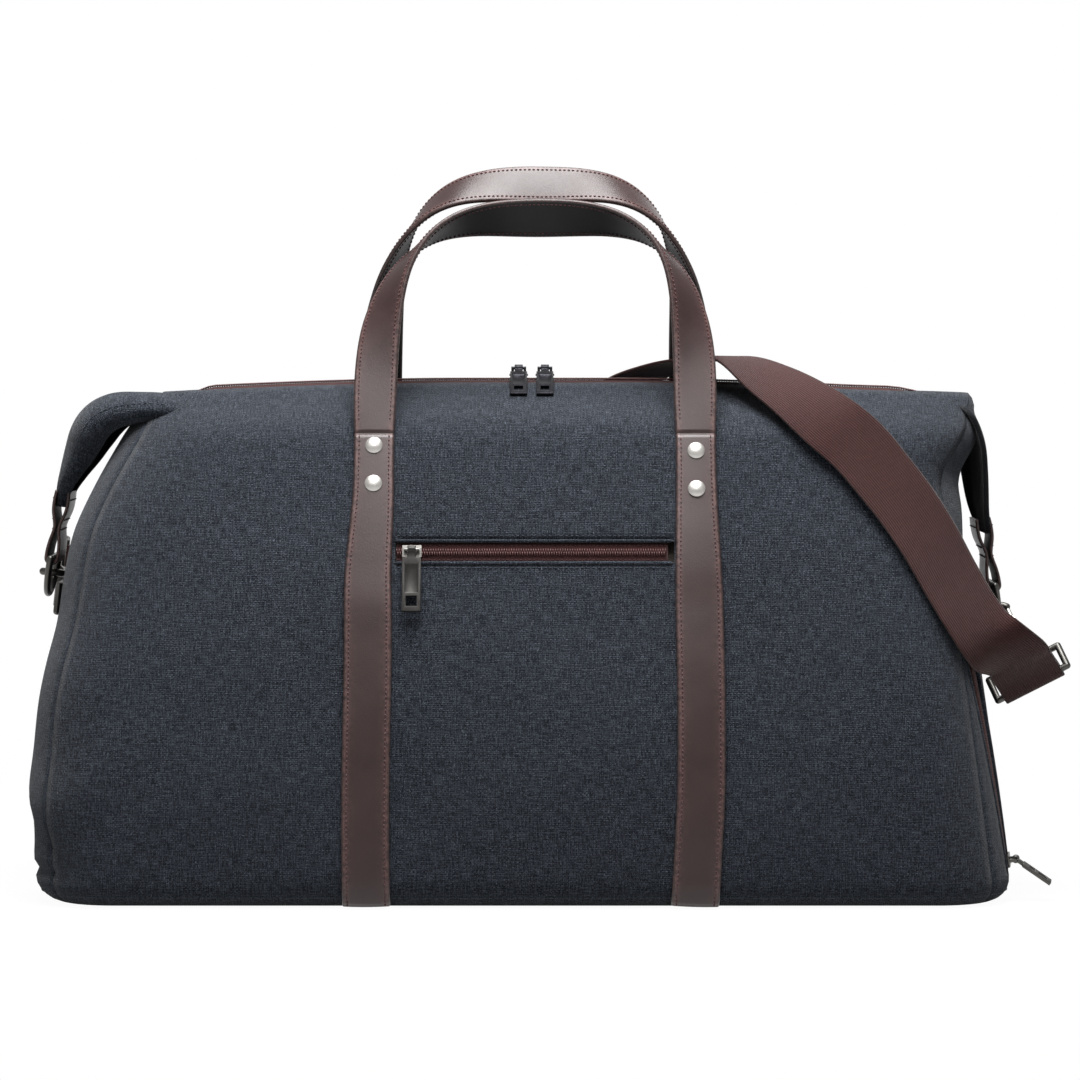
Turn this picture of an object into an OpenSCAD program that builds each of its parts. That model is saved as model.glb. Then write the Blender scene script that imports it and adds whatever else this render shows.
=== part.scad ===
// Weekender bag: canvas shell, leather straps and handles, webbing shoulder strap.
// +X runs along the length, the front panel faces -Y, +Z is up.
// The origin is the middle of the face that the bag rests on.

/* [Body] */
// Half length at the widest place, left end
left_reach = 286; // [240:1:320]
// Half length at the base, right end
right_reach = 278; // [240:1:320]
// Half depth at the base
base_half_depth = 124; // [100:1:150]
// Half depth where the top starts to roll over
top_half_depth = 52; // [44:1:66]
// Height where the top starts to roll over
shoulder_height = 272; // [270:1:284]
// Rise of the rolled top above the shoulder
top_rise = 24; // [18:1:28]
// Thickness of the canvas with its backing
canvas = 2; // [1.5:0.1:3]
// Thickness of the lining
lining_thickness = 0.8; // [0.5:0.1:1.5]
// Gap between canvas and lining, where washers and pocket lie
lining_gap = 3; // [2.5:0.1:5]
// Radius of the upright corners
corner_radius = 45; // [30:1:48]
// Radius of the bottom edge
base_roll = 14; // [10:1:20]
// Thickness of the stiffener board in the base
board_thickness = 2.5; // [1.5:0.1:4]
// Distance of the shoe compartment wall from the middle
shoe_wall_x = 150; // [120:1:190]

/* [Leather] */
// Width of the sewn straps
strap_width = 25; // [22:0.5:28]
// Thickness of the straps and handles
strap_thickness = 3; // [2:0.1:4]
// Distance of the straps from the middle at the rivets
strap_x = 93; // [90:1:110]
// Distance below the shoulder of the seam where the carrying handle leaves the sewn strap
hinge_drop = 6; // [4:1:14]
// Width of the carrying handles
handle_width = 26; // [20:0.5:30]
// Rise of the middle line of the front handle above its seams
front_handle_rise = 126; // [104:1:134]
// Rise of the middle line of the back handle above its seams
back_handle_rise = 146; // [140:1:164]
// Width of the end tabs
tab_width = 36; // [30:1:40]
// Thickness of the end tabs
tab_thickness = 8; // [7:0.5:9]

/* [Hardware] */
// Radius of the rivet heads
rivet_radius = 5; // [4:0.25:6]
// Distance between the two rivets of a strap
rivet_pitch = 21.5; // [16:0.5:26]
// Width of the webbing
webbing_width = 38; // [30:1:38]
// Thickness of the webbing
webbing_thickness = 1.8; // [1.2:0.1:2.2]
// Radius of the D-ring wire
ring_wire = 2; // [1.5:0.1:2.25]
// Length of the pocket puller
pocket_puller_length = 37; // [28:1:44]
// Length of the top pullers
top_puller_length = 30; // [22:1:34]
// Length of the shoe compartment puller
shoe_puller_length = 24; // [18:1:24]
// Half length of the pocket zip
pocket_half = 80; // [70:1:80]

/* [Hidden] */

$fn = 32;
gap = 0.3;            // clearance between pieces that lie on each other
eps = 0.01;
strap_mid = 3.2;        // the pair of straps sits slightly right of the middle
strap_side = [strap_mid - strap_x, strap_mid + strap_x];
canvas_colour = "#2f3a48";
leather_colour = "#4c3836";
tape_colour = "#4a2b2b";
steel_colour = "#6b6a68";

// ---- outline of the shell --------------------------------------------------------------------
end_radius = 870;      // the left end leans in by the square of the height over this length
end_bulge_z = 55;
right_lean = 0.125;    // lean of the right end
right_lean_stop = 32;  // it ends this far below the shoulder
end_dip = 8;           // how far the middle of each end is drawn in at the top
zip_half = 10;         // half width of the slot between the two top panels
end_roll = 18;         // how far the ends roll in at the top
top_crown = 0.9;       // 1 makes the top panels flat slopes, less makes them fuller
arc_steps = 3;
front_steps = 10;
side_steps = 4;
body_steps = 12;
roll_steps = 3;
n_levels = 2 * roll_steps + body_steps;

function left_of(z, reach) = reach - pow(z - end_bulge_z, 2) / end_radius;
function left_at(z) = left_of(z, left_reach);
function right_of(z, reach, height) = reach - right_lean * min(z, height - right_lean_stop);
function right_at(z) = right_of(z, right_reach, shoulder_height);
function depth_of(z, base, top, height) = base - (base - top) * pow(max(z, 0) / height, 1.8);
function depth_at(z) = depth_of(z, base_half_depth, top_half_depth, shoulder_height);
function depth_slope(z) = (depth_at(z + 1) - depth_at(z - 1)) / 2;

function level_z(i) =
    i <= roll_steps ? base_roll * (1 - sin(90 * (1 - i / roll_steps)))
    : i <= roll_steps + body_steps
        ? base_roll + (shoulder_height - base_roll) * (i - roll_steps) / body_steps
    : shoulder_height;
// each level is [height, inset in x, inset in y] for a surface that lies w inside the outside
function level(i, w) =
    i <= roll_steps ? let (a = 90 * (1 - i / roll_steps), in = base_roll - (base_roll - w) * cos(a))
        [base_roll - (base_roll - w) * sin(a), in, in]
    : i <= roll_steps + body_steps ? [level_z(i), w, w]
    : let (a = 90 * (i - roll_steps - body_steps) / roll_steps, d = top_half_depth - zip_half)
        [shoulder_height + (top_rise - w) * pow(1 - cos(a), top_crown),
         end_roll - (end_roll - w) * cos(a), d - (d - w) * cos(a)];

function arc(cx, cy, r, a0, a1, z) =
    [for (i = [0 : arc_steps]) let (a = a0 + (a1 - a0) * i / arc_steps)
        [cx + r * cos(a), cy + r * sin(a), z]];
// points between two corners; bow moves the middle sideways in x
function run(x0, y0, x1, y1, n, z, bow = 0) = [for (i = [1 : n - 1])
    [x0 + (x1 - x0) * i / n + bow * sin(180 * i / n), y0 + (y1 - y0) * i / n, z]];
// the closed outline at one level, from the seam of the front left corner round to the front left
function outline(i, w) = let (
        v = level(i, w), z = level_z(i), xl = -left_at(z) + v[1], xr = right_at(z) - v[1],
        b = depth_at(z) - v[2],
        r = max(min(corner_radius, top_half_depth - 6) - max(v[1], v[2]), 3), h = v[0],
        dip = end_dip * z / shoulder_height * cos(90 * max(i - roll_steps - body_steps, 0) / roll_steps))
    concat(arc(xl + r, -b + r, r, 225, 270, h), run(xl + r, -b, xr - r, -b, front_steps, h),
        arc(xr - r, -b + r, r, 270, 315, h), arc(xr - r, -b + r, r, 315, 360, h),
        run(xr, -b + r, xr, b - r, side_steps, h, -dip), arc(xr - r, b - r, r, 0, 45, h),
        arc(xr - r, b - r, r, 45, 90, h), run(xr - r, b, xl + r, b, front_steps, h),
        arc(xl + r, b - r, r, 90, 135, h), arc(xl + r, b - r, r, 135, 180, h),
        run(xl, b - r, xl, -b + r, side_steps, h, dip), arc(xl + r, -b + r, r, 180, 225, h));
n_front = 2 * (arc_steps + 1) + front_steps - 1;
n_side = 2 * (arc_steps + 1) + side_steps - 1;
front_run = [0, n_front - 1];
right_run = [n_front, n_front + n_side - 1];
back_run = [n_front + n_side, 2 * n_front + n_side - 1];
left_run = [2 * n_front + n_side, 2 * n_front + 2 * n_side - 1];

// a curved panel between two surfaces of the shell, from outline point s[0] to s[1]
module panel(s, w0, w1, top = n_levels) {
    nk = s[1] - s[0] + 1;
    nl = top + 1;
    grid = [for (w = [w0, w1]) for (i = [0 : top]) let (o = outline(i, w))
        for (k = [s[0] : s[1]]) o[k]];
    m = nk * nl;
    function at(side, i, k) = side * m + i * nk + k;
    faces = concat(
        [for (i = [0 : nl - 2]) for (k = [0 : nk - 2]) each
            [[at(0, i, k), at(0, i + 1, k), at(0, i, k + 1)],
             [at(0, i, k + 1), at(0, i + 1, k), at(0, i + 1, k + 1)],
             [at(1, i, k), at(1, i, k + 1), at(1, i + 1, k)],
             [at(1, i, k + 1), at(1, i + 1, k + 1), at(1, i + 1, k)]]],
        [for (i = [0 : nl - 2]) each
            [[at(0, i, 0), at(1, i, 0), at(0, i + 1, 0)],
             [at(1, i, 0), at(1, i + 1, 0), at(0, i + 1, 0)],
             [at(0, i, nk - 1), at(0, i + 1, nk - 1), at(1, i, nk - 1)],
             [at(1, i, nk - 1), at(0, i + 1, nk - 1), at(1, i + 1, nk - 1)]]],
        [for (k = [0 : nk - 2]) each
            [[at(0, 0, k), at(0, 0, k + 1), at(1, 0, k)],
             [at(1, 0, k), at(0, 0, k + 1), at(1, 0, k + 1)],
             [at(0, nl - 1, k), at(1, nl - 1, k), at(0, nl - 1, k + 1)],
             [at(1, nl - 1, k), at(1, nl - 1, k + 1), at(0, nl - 1, k + 1)]]]);
    polyhedron(grid, faces);
}

// rings of equal point counts joined into one closed solid
module loft(rings) {
    n = len(rings[0]);
    last = len(rings) - 1;
    polyhedron([for (r = rings) each r], concat(
        [for (i = [0 : last - 1]) for (k = [0 : n - 1]) let (k1 = (k + 1) % n) each
            [[i * n + k, (i + 1) * n + k, i * n + k1],
             [i * n + k1, (i + 1) * n + k, (i + 1) * n + k1]]],
        [[for (k = [0 : n - 1]) k], [for (k = [n - 1 : -1 : 0]) last * n + k]]));
}
module envelope(w) loft([for (i = [0 : n_levels]) dedupe(outline(i, w))]);
// the seam points are written twice in an outline, once for each panel
function dedupe(o) = [for (k = [0 : len(o) - 1])
    if (norm(o[k] - o[(k + 1) % len(o)]) > 0.001) o[k]];

// The routes of the ears and the shoulder strap are drawn on a bag of these sizes: reach to the left
// and right, half depth of base and top, height of the shoulder and rise of the top. carried() moves
// a point of them along with the bag.
drawn = [286, 278, 124, 52, 272, 24];
carry_x = 200;         // from here outward a point moves as far as the end does
carry_y = 45;
carry_z = 130;
function carried(p) = let (
        z = p[2] + (shoulder_height - drawn[4]) * min(p[2] / carry_z, 1)
            + (top_rise - drawn[5]) * max(min((p[2] - drawn[4]) / drawn[5], 1), 0),
        reach = p[0] < 0 ? left_of(p[2], drawn[0]) - left_at(z)
            : right_at(z) - right_of(p[2], drawn[1], drawn[4]),
        out = depth_at(min(z, shoulder_height))
            - depth_of(min(p[2], drawn[4]), drawn[2], drawn[3], drawn[4]))
    [p[0] + reach * min(abs(p[0]) / carry_x, 1),
     p[1] + sign(p[1]) * out * min(abs(p[1]) / carry_y, 1), z];

// ---- strips ----------------------------------------------------------------------------------
function unit(v) = v / norm(v);
function tangent(p, i) = unit(p[min(i + 1, len(p) - 1)] - p[max(i - 1, 0)]);
// a flat strip along points p, with a width direction for each point
module strip(p, across, width, thick) {
    loft([for (i = [0 : len(p) - 1]) let (
            t = tangent(p, i), n = unit(cross(t, across[i])), a = cross(n, t),
            w = is_list(width) ? width[i] : width, h = is_list(thick) ? thick[i] : thick)
        [p[i] - a * w / 2 - n * h / 2, p[i] + a * w / 2 - n * h / 2,
         p[i] + a * w / 2 + n * h / 2, p[i] - a * w / 2 + n * h / 2]]);
}
// a place on the front panel: local X is world X, local Y climbs the panel, local Z leaves it
function front_angle(z) = 90 + atan(depth_slope(z));
module on_front(x, z, lift) {
    translate([x, -depth_at(z), z]) rotate([front_angle(z), 0, 0]) translate([0, 0, lift]) children();
}
function front_normal(z) = unit([0, -1, -depth_slope(z)]);

// ---- shell -----------------------------------------------------------------------------------
pocket_drop = 72;      // the pocket zip lies this far below the shoulder
pocket_z = shoulder_height - pocket_drop;
pocket_slot = 12.5;
module canvas_front() color(canvas_colour) difference() {
    panel(front_run, 0, canvas);
    on_front(pocket_x, pocket_z, -canvas * 2)
        translate([-pocket_half, -pocket_slot / 2, 0]) cube([2 * pocket_half, pocket_slot, canvas * 4]);
    rivet_cuts();
}
module rivet_cuts() for (k = [0, 1]) for (z = rivet_heights)
    on_front(strap_side[k], z - rivet_drop[k], -canvas * 2) cylinder(r = post_radius + gap, h = canvas * 4);
module canvas_back() color(canvas_colour) difference() {
    panel(back_run, 0, canvas);
    mirror([0, 1, 0]) rivet_cuts();
}
module end_panel_left() color(canvas_colour) panel(left_run, 0, canvas);
module end_panel_right() color(canvas_colour) difference() {
    panel(right_run, 0, canvas);
    shoe_cut();
}
module base_canvas() color(canvas_colour) linear_extrude(canvas) polygon(flat(dedupe(outline(0, 0))));
function flat(o) = [for (p = o) [p[0], p[1]]];
board_margin = base_roll + lining_gap;
board_corner = 20;
module base_board() color("#202020") translate([0, 0, canvas + gap]) linear_extrude(board_thickness)
    translate([board_margin + corner_radius - left_reach, board_margin + board_corner - base_half_depth])
        offset(r = board_corner)
            square([left_reach + right_reach - 2 * (board_margin + board_corner) - corner_radius,
                2 * (base_half_depth - board_margin - board_corner)]);
lining_in = canvas + lining_gap;
module lining() color("#5b5148") difference() {
    envelope(lining_in);
    envelope(lining_in + lining_thickness);
    translate([-left_reach, -zip_half, shoulder_height])
        cube([left_reach + right_reach, 2 * zip_half, 2 * top_rise]);
}
wall_drop = 40;        // the compartment wall ends this far below the shoulder
module shoe_wall() color("#5b5148") intersection() {
    envelope(lining_in + lining_thickness + gap);
    translate([shoe_wall_x, -base_half_depth, 0])
        cube([lining_thickness, 2 * base_half_depth, shoulder_height - wall_drop]);
}
pocket_x = strap_mid;
pocket_bottom = 70;
pocket_cloth = 0.8;
pocket_route = panel_route(pocket_x, pocket_bottom, pocket_z - pocket_slot,
    -canvas - gap - pocket_cloth / 2);
module pocket_bag() color("#5b5148")
    strip(pocket_route, [for (p = pocket_route) [1, 0, 0]], 2 * pocket_half, pocket_cloth);

// ---- zips ------------------------------------------------------------------------------------
tape_thickness = 0.8;
top_z = shoulder_height + top_rise;
top_zip_left = -left_at(shoulder_height) + end_roll + 4;
top_zip_right = right_at(shoulder_height) - end_roll - 4;
coil_width = 6;
coil_height = 1.6;
tape_rise = 3;         // the two tapes climb to the coil
ridge_z = top_z - canvas + tape_rise;
module along_top() translate([top_zip_left, 0, 0]) rotate([90, 0, 90])
    linear_extrude(top_zip_right - top_zip_left) children();
module top_tape() color(tape_colour) along_top() polygon([
    [-zip_half + gap, top_z - canvas], [-coil_width / 2, ridge_z], [coil_width / 2, ridge_z],
    [zip_half - gap, top_z - canvas], [zip_half - gap, top_z - canvas + tape_thickness],
    [coil_width / 2, ridge_z + tape_thickness], [-coil_width / 2, ridge_z + tape_thickness],
    [-zip_half + gap, top_z - canvas + tape_thickness]]);
module top_coil() color(tape_colour) along_top()
    translate([-coil_width / 2, ridge_z + tape_thickness]) square([coil_width, coil_height]);
module pocket_tape() color(tape_colour) on_front(pocket_x, pocket_z, -canvas)
    translate([-pocket_half + gap, -pocket_slot / 2 + gap, 0])
        cube([2 * (pocket_half - gap), pocket_slot - 2 * gap, tape_thickness]);
module pocket_coil() color(tape_colour) on_front(pocket_x, pocket_z, -canvas + tape_thickness)
    translate([-pocket_half + 1, -coil_width / 2, 0]) cube([2 * pocket_half - 2, coil_width, coil_height]);

// the shoe compartment zip runs down the right end, from the corner seam towards the middle
shoe_drop = 116;       // its upper end lies this far below the shoulder
shoe_top = shoulder_height - shoe_drop;
shoe_bottom = 16;
shoe_slot = 11;
shoe_turn = [9, 36];   // angle round the corner at the bottom and at the top
shoe_steps = 12;
function shoe_angle(z) = shoe_turn[0]
    + (shoe_turn[1] - shoe_turn[0]) * (z - shoe_bottom) / (shoe_top - shoe_bottom);
corner_used = min(corner_radius, top_half_depth - 6);
function shoe_normal(z) = unit([cos(shoe_angle(z)), -sin(shoe_angle(z)),
    right_lean * cos(shoe_angle(z)) - depth_slope(z) * sin(shoe_angle(z))]);
function shoe_point(z, lift) = let (a = shoe_angle(z))
    [right_at(z) - corner_used * (1 - cos(a)), -depth_at(z) + corner_used * (1 - sin(a)), z]
        + lift * shoe_normal(z);
function shoe_route(z0, z1, lift) =
    [for (i = [0 : shoe_steps]) shoe_point(z0 + (z1 - z0) * i / shoe_steps, lift)];
module shoe_strip(inset, width, lift, thick) {
    route = shoe_route(shoe_bottom + inset, shoe_top - inset, lift + thick / 2);
    strip(route, [for (i = [0 : shoe_steps])
        cross(shoe_normal(shoe_bottom), unit(route[shoe_steps] - route[0]))], width, thick);
}
module shoe_cut() shoe_strip(0, shoe_slot, -3 * canvas, 6 * canvas);
shoe_tape_lift = -canvas - 0.4;
module shoe_tape() color(tape_colour) shoe_strip(gap, shoe_slot - 3 * gap, shoe_tape_lift, tape_thickness);
module shoe_coil() color(tape_colour)
    shoe_strip(gap, coil_width, shoe_tape_lift + tape_thickness + gap, coil_height);
shoe_slider_z = shoe_bottom + 7;
shoe_climb = unit(shoe_point(shoe_slider_z + 15, 0) - shoe_point(shoe_slider_z - 5, 0));
module on_shoe(lift) in_frame(shoe_point(shoe_slider_z, lift), shoe_normal(shoe_slider_z),
    cross(shoe_climb, shoe_normal(shoe_slider_z))) children();

// a slider: plate, two posts and a bar along local X that carries the puller
slider_length = 11;
slider_width = 7;
plate = 1.2;
bar_radius = 0.9;
bar_lift = plate + 3.4;
module slider() {
    translate([-slider_length / 2, -slider_width / 2, 0]) cube([slider_length, slider_width, plate]);
    for (x = [-1, 1]) translate([x * 3.6 - 0.8, -bar_radius, 0]) cube([1.6, 2 * bar_radius, bar_lift]);
    translate([-4.4, 0, bar_lift]) rotate([0, 90, 0]) cylinder(r = bar_radius, h = 8.8);
}
// a puller: eye on the bar, neck, framed plate with a window; it hangs along local -Y
eye_radius = 2.1;
puller_thickness = 1.8;
module puller(length, width) {
    eye_width = 4.8;
    difference() {
        union() {
            translate([-eye_width / 2, 0, 0]) rotate([0, 90, 0]) cylinder(r = eye_radius, h = eye_width);
            translate([-eye_width / 2, -6, -puller_thickness / 2]) cube([eye_width, 5, puller_thickness]);
            translate([-width / 2, -length, -puller_thickness / 2])
                cube([width, length - 5, puller_thickness]);
        }
        translate([-eye_width, 0, 0]) rotate([0, 90, 0]) cylinder(r = bar_radius + 0.25, h = 2 * eye_width);
        translate([-width / 2 + 2.4, -length + 3, -5]) cube([width - 4.8, 6, 10]);
        translate([-width / 2 + 1.8, -length + 11, puller_thickness / 2 - 0.5])
            cube([width - 3.6, length - 20, 2]);
    }
}
coil_clear = 0.3;
top_slider_x = [-6.5, 9];
top_slider_z = ridge_z + tape_thickness + coil_height + coil_clear;
module place_top(k) translate([top_slider_x[k], 0, top_slider_z]) children();
module top_slider_left() color(steel_colour) place_top(0) slider();
module top_slider_right() color(steel_colour) place_top(1) slider();
top_puller_tilt = 30;
top_puller_width = 10;
module top_puller_left() color(steel_colour) place_top(0) translate([0, 0, bar_lift])
    rotate([top_puller_tilt, 0, 0]) puller(top_puller_length, top_puller_width);
module top_puller_right() color(steel_colour) place_top(1) translate([0, 0, bar_lift])
    rotate([top_puller_tilt, 0, 0]) puller(top_puller_length, top_puller_width);
pocket_slider_x = pocket_x - pocket_half + slider_length / 2 + 4;
pocket_slider_lift = -canvas + tape_thickness + coil_height + coil_clear;
pocket_puller_width = 11;
module pocket_slider() color(steel_colour) on_front(pocket_slider_x, pocket_z, pocket_slider_lift) slider();
module pocket_puller() color(steel_colour) on_front(pocket_slider_x, pocket_z, pocket_slider_lift + bar_lift)
    puller(pocket_puller_length, pocket_puller_width);
shoe_puller_tilt = 48;
shoe_puller_width = 9;
shoe_slider_lift = shoe_tape_lift + tape_thickness + gap + coil_height + coil_clear;
module shoe_slider() color(steel_colour) on_shoe(shoe_slider_lift) slider();
module shoe_puller() color(steel_colour) on_shoe(shoe_slider_lift + bar_lift)
    rotate([-shoe_puller_tilt, 0, 0]) puller(shoe_puller_length, shoe_puller_width);

// ---- ears and tabs ---------------------------------------------------------------------------
ear_left_route = [[-213, 0, 283], [-228, 0, 282], [-243.5, 0, 279], [-253.5, 0, 273], [-260, 0, 264.5],
    [-265, 0, 254.5], [-271, 0, 242], [-274.9, 0, 232.2], [-276.4, 0, 224]];
ear_left_width = [70, 72, 74, 72, 68, 60, 51, 43, tab_width];
ear_left_thick = [18, 21, 23, 25, 25, 21, 14.5, 10.5, tab_thickness];
ear_right_route = [[231, 0, 288], [244, 0, 288], [254, 0, 284], [260.5, 0, 274], [264, 0, 260],
    [265.2, 0, 243], [266, 0, 222], [268.5, 0, 208]];
ear_right_width = [70, 72, 74, 72, 66, 56, 46, tab_width];
ear_right_thick = [12, 14, 14, 13, 13, 12, 10, tab_thickness];
// turn is how much further out the back edge of the wing stands than its front edge
module ear(route, width, thick, turn) difference() {
    strip([for (p = route) carried(p)],
        [for (i = [0 : len(route) - 1]) [turn * (1 - i / (len(route) - 1)), 1, 0]], width, thick);
    envelope(-gap);
}
module ear_left() color(canvas_colour) ear(ear_left_route, ear_left_width, ear_left_thick, 0);
module ear_right() color(canvas_colour) ear(ear_right_route, ear_right_width, ear_right_thick, 0.2);

tab_length = 32;
ring_gap = 0.25;
tab_top_left = carried(ear_left_route[len(ear_left_route) - 1]);
tab_top_right = carried(ear_right_route[len(ear_right_route) - 1]);
tab_lean = 10;      // tabs hang down and outward
// a tab in its own frame: it hangs along local -Z from the end of the ear, and wraps the ring's bar
module tab() rotate([90, 0, 0]) difference() {
    union() {
        translate([-tab_thickness / 2, -tab_length]) linear_extrude(tab_width, center = true)
            square([tab_thickness, tab_length - gap]);
        translate([0, -tab_length]) cylinder(r = tab_thickness / 2, h = tab_width, center = true);
    }
    translate([0, -tab_length]) cylinder(r = ring_wire + ring_gap, h = 2 * tab_width, center = true);
}
module hang_left() translate(tab_top_left) rotate([0, tab_lean, 0]) children();
module hang_right() translate(tab_top_right) rotate([0, -tab_lean, 0]) children();
module tab_left() color(leather_colour) hang_left() tab();
module tab_right() color(leather_colour) hang_right() tab();
ring_radius = tab_width / 2 + 2 + ring_wire;
// D-ring: a straight bar in the tab and a half round below it
module d_ring() translate([0, 0, -tab_length]) {
    rotate([90, 0, 0]) cylinder(r = ring_wire, h = 2 * ring_radius, center = true);
    rotate([0, 90, 0]) rotate([0, 0, -90]) rotate_extrude(angle = 180)
        translate([ring_radius, 0]) circle(r = ring_wire);
    for (y = [-1, 1]) translate([0, y * ring_radius, 0]) sphere(r = ring_wire);
}
module d_ring_left() color(steel_colour) hang_left() d_ring();
module d_ring_right() color(steel_colour) hang_right() d_ring();

// ---- straps and rivets -----------------------------------------------------------------------
hinge_height = shoulder_height - hinge_drop;
rivet_heights = [hinge_height - 7, hinge_height - 7 - rivet_pitch];
rivet_drop = [0, 3];   // the right pair sits a little lower
post_radius = 1.8;
strap_lift = gap + strap_thickness / 2;
// a point of a strip that follows the front panel, lifted off it; low down it turns with the edge
function on_panel(x, z, lift) = let (a = z < base_roll ? asin(1 - z / base_roll) : 0)
    [x, -depth_at(z) + base_roll * (1 - cos(a)), z]
        + lift * (z < base_roll ? [0, -cos(a), -sin(a)] : front_normal(z));
function panel_route(x, z0, z1, lift) = [for (z = concat(
        z0 < base_roll ? [] : [z0],
        [for (i = [1 : roll_steps + body_steps]) if (level_z(i) > z0 && level_z(i) < z1 - 3) level_z(i)],
        [z1])) on_panel(x, z, lift)];
strap_foot = 5;
strap_route = panel_route(0, strap_foot, hinge_height - gap / 2, strap_lift);
module sewn_strap(k) color(leather_colour) difference() {
    translate([strap_side[k], 0, 0])
        strip(strap_route, [for (p = strap_route) [1, 0, 0]], strap_width, strap_thickness);
    for (z = rivet_heights) on_front(strap_side[k], z - rivet_drop[k], -canvas)
        cylinder(r = post_radius + gap, h = canvas + 4 * strap_thickness);
}
module strap_front_left() sewn_strap(0);
module strap_front_right() sewn_strap(1);
module strap_back_left() mirror([0, 1, 0]) sewn_strap(0);
module strap_back_right() mirror([0, 1, 0]) sewn_strap(1);
// a rivet: domed head, post through strap and canvas, washer inside the canvas
head_height = 2.4;
washer_thickness = 1;
module rivet(x, z) on_front(x, z, 0) {
    head_z = 2 * gap + strap_thickness;
    translate([0, 0, head_z]) intersection() {
        cylinder(r = rivet_radius, h = head_height);
        translate([0, 0, head_height - 8]) sphere(r = 8, $fn = 64);
    }
    translate([0, 0, -canvas - gap]) cylinder(r = post_radius, h = head_z + canvas + gap + eps);
    translate([0, 0, -canvas - gap - washer_thickness])
        cylinder(r = rivet_radius - 0.5, h = washer_thickness);
}
module rivets(k) color("#c9c6c0") for (z = rivet_heights) rivet(strap_side[k], z - rivet_drop[k]);
module rivet_front_left() rivets(0);
module rivet_front_right() rivets(1);
module rivet_back_left() mirror([0, 1, 0]) rivets(0);
module rivet_back_right() mirror([0, 1, 0]) rivets(1);

// ---- carrying handles ------------------------------------------------------------------------
arch_power = 3.4;
arch_shift = 3;        // the top of each arch leans to the right
handle_steps = 32;
handle_turns = [151, 148];  // how far the strap's face turns from leg to top, front and back
turn_power = 3;
handle_apart = 3.5;    // how far the top of each handle stays from the middle of the bag
foot_slope = 0.4;      // the legs start along the panel and lean in more higher up
foot_y = on_panel(0, hinge_height, strap_lift)[1];
function arch(a, h) = let (c = abs(cos(a)), s = abs(sin(a)),
        r = 1 / pow(pow(c / strap_x, arch_power) + pow(s / h, arch_power), 1 / arch_power))
    [r * cos(a) * -1, r * sin(a)];
function handle_point(a, h) = let (q = arch(a, h), u = q[1] / h)
    [strap_mid + q[0] + arch_shift * pow(u, 2),
     foot_y + foot_slope * h * u + (-handle_apart - foot_y - foot_slope * h) * pow(u, 2.2),
     on_panel(0, hinge_height + gap / 2, strap_lift)[2] + q[1]];
// the strap's face looks forward at the legs, turns outward, and looks up and back at the top
function handle_across(a, h, most) = let (
        turn = most * pow(sin(a), turn_power),
        t = unit(handle_point(min(a + 1, 180), h) - handle_point(max(a - 1, 0), h)),
        lead = unit([0, -1, 0] - t * (t * [0, -1, 0])), side = cross(lead, t),
        n = lead * cos(turn) + side * sin(turn))
    cross(t, n);
module handle(rise, most) color(leather_colour) {
    angles = [for (i = [0 : handle_steps]) 180 * i / handle_steps];
    strip([for (a = angles) handle_point(a, rise)], [for (a = angles) handle_across(a, rise, most)],
        handle_width, strap_thickness);
}
module handle_front() handle(front_handle_rise, handle_turns[0]);
module handle_back() mirror([0, 1, 0]) handle(back_handle_rise, handle_turns[1]);

// ---- snap hooks ------------------------------------------------------------------------------
// In its own frame the bar of the loop runs along X through the origin, and the claw is up +Z.
loop_half = webbing_width / 2 + 1.5 + ring_wire;
loop_rise = 15;
barrel_top = 41;
claw_hole = 5.2;
claw_wire = 2.2;
claw_ring = claw_hole + claw_wire;
claw_z = 51;
neck_radius = 2;
collar_radius = 3.4;
collar_z = loop_rise + 9;
collar_height = 2.5;
swivel_z = loop_rise + ring_wire + 1;
claw_end = -62;       // angles of the two ends of the claw, seen along its pivot
claw_nose = 42;
module hook_loop() {
    for (z = [0, loop_rise]) {
        translate([0, 0, z]) rotate([0, 90, 0]) cylinder(r = ring_wire, h = 2 * loop_half, center = true);
        for (x = [-1, 1]) translate([x * loop_half, 0, z]) sphere(r = ring_wire);
    }
    for (x = [-1, 1]) translate([x * loop_half, 0, 0]) cylinder(r = ring_wire, h = loop_rise);
    translate([0, 0, loop_rise]) cylinder(r = neck_radius, h = collar_z - loop_rise + collar_height);
    translate([0, 0, collar_z]) cylinder(r = collar_radius, h = collar_height);
}
module hook_claw() {
    difference() {
        translate([0, 0, swivel_z]) cylinder(r = 5.6, h = barrel_top - swivel_z);
        translate([0, 0, swivel_z - 1]) cylinder(r = neck_radius + gap, h = collar_z - swivel_z + 1);
        translate([0, 0, collar_z - gap]) cylinder(r = collar_radius + gap, h = collar_height + 2 * gap);
    }
    translate([0, 0, claw_z]) rotate([90, 0, 0]) {
        rotate([0, 0, claw_nose]) rotate_extrude(angle = 360 + claw_end - claw_nose)
            translate([claw_ring, 0]) circle(r = claw_wire);
        rotate([0, 0, claw_nose]) translate([claw_ring, 0, 0]) sphere(r = claw_wire);
    }
    translate([0, 0, barrel_top - 1]) cylinder(r = 3, h = claw_z - claw_ring - barrel_top + 1);
}
// the gate closes the open side of the claw and turns about its lower end
gate_radius = 1.5;
gate_eye = 2;          // round foot of the gate, on its pivot
gate_eye_width = 3.6;
gate_foot = [claw_ring * cos(-44), claw_z + claw_ring * sin(-44)];
gate_head = claw_z + claw_ring * sin(claw_nose) - claw_wire - gap;
module hook_gate() translate([gate_foot[0], 0, gate_foot[1]]) {
    cylinder(r = gate_radius, h = gate_head - gate_foot[1]);
    rotate([90, 0, 0]) cylinder(r = gate_eye, h = gate_eye_width, center = true);
}

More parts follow.
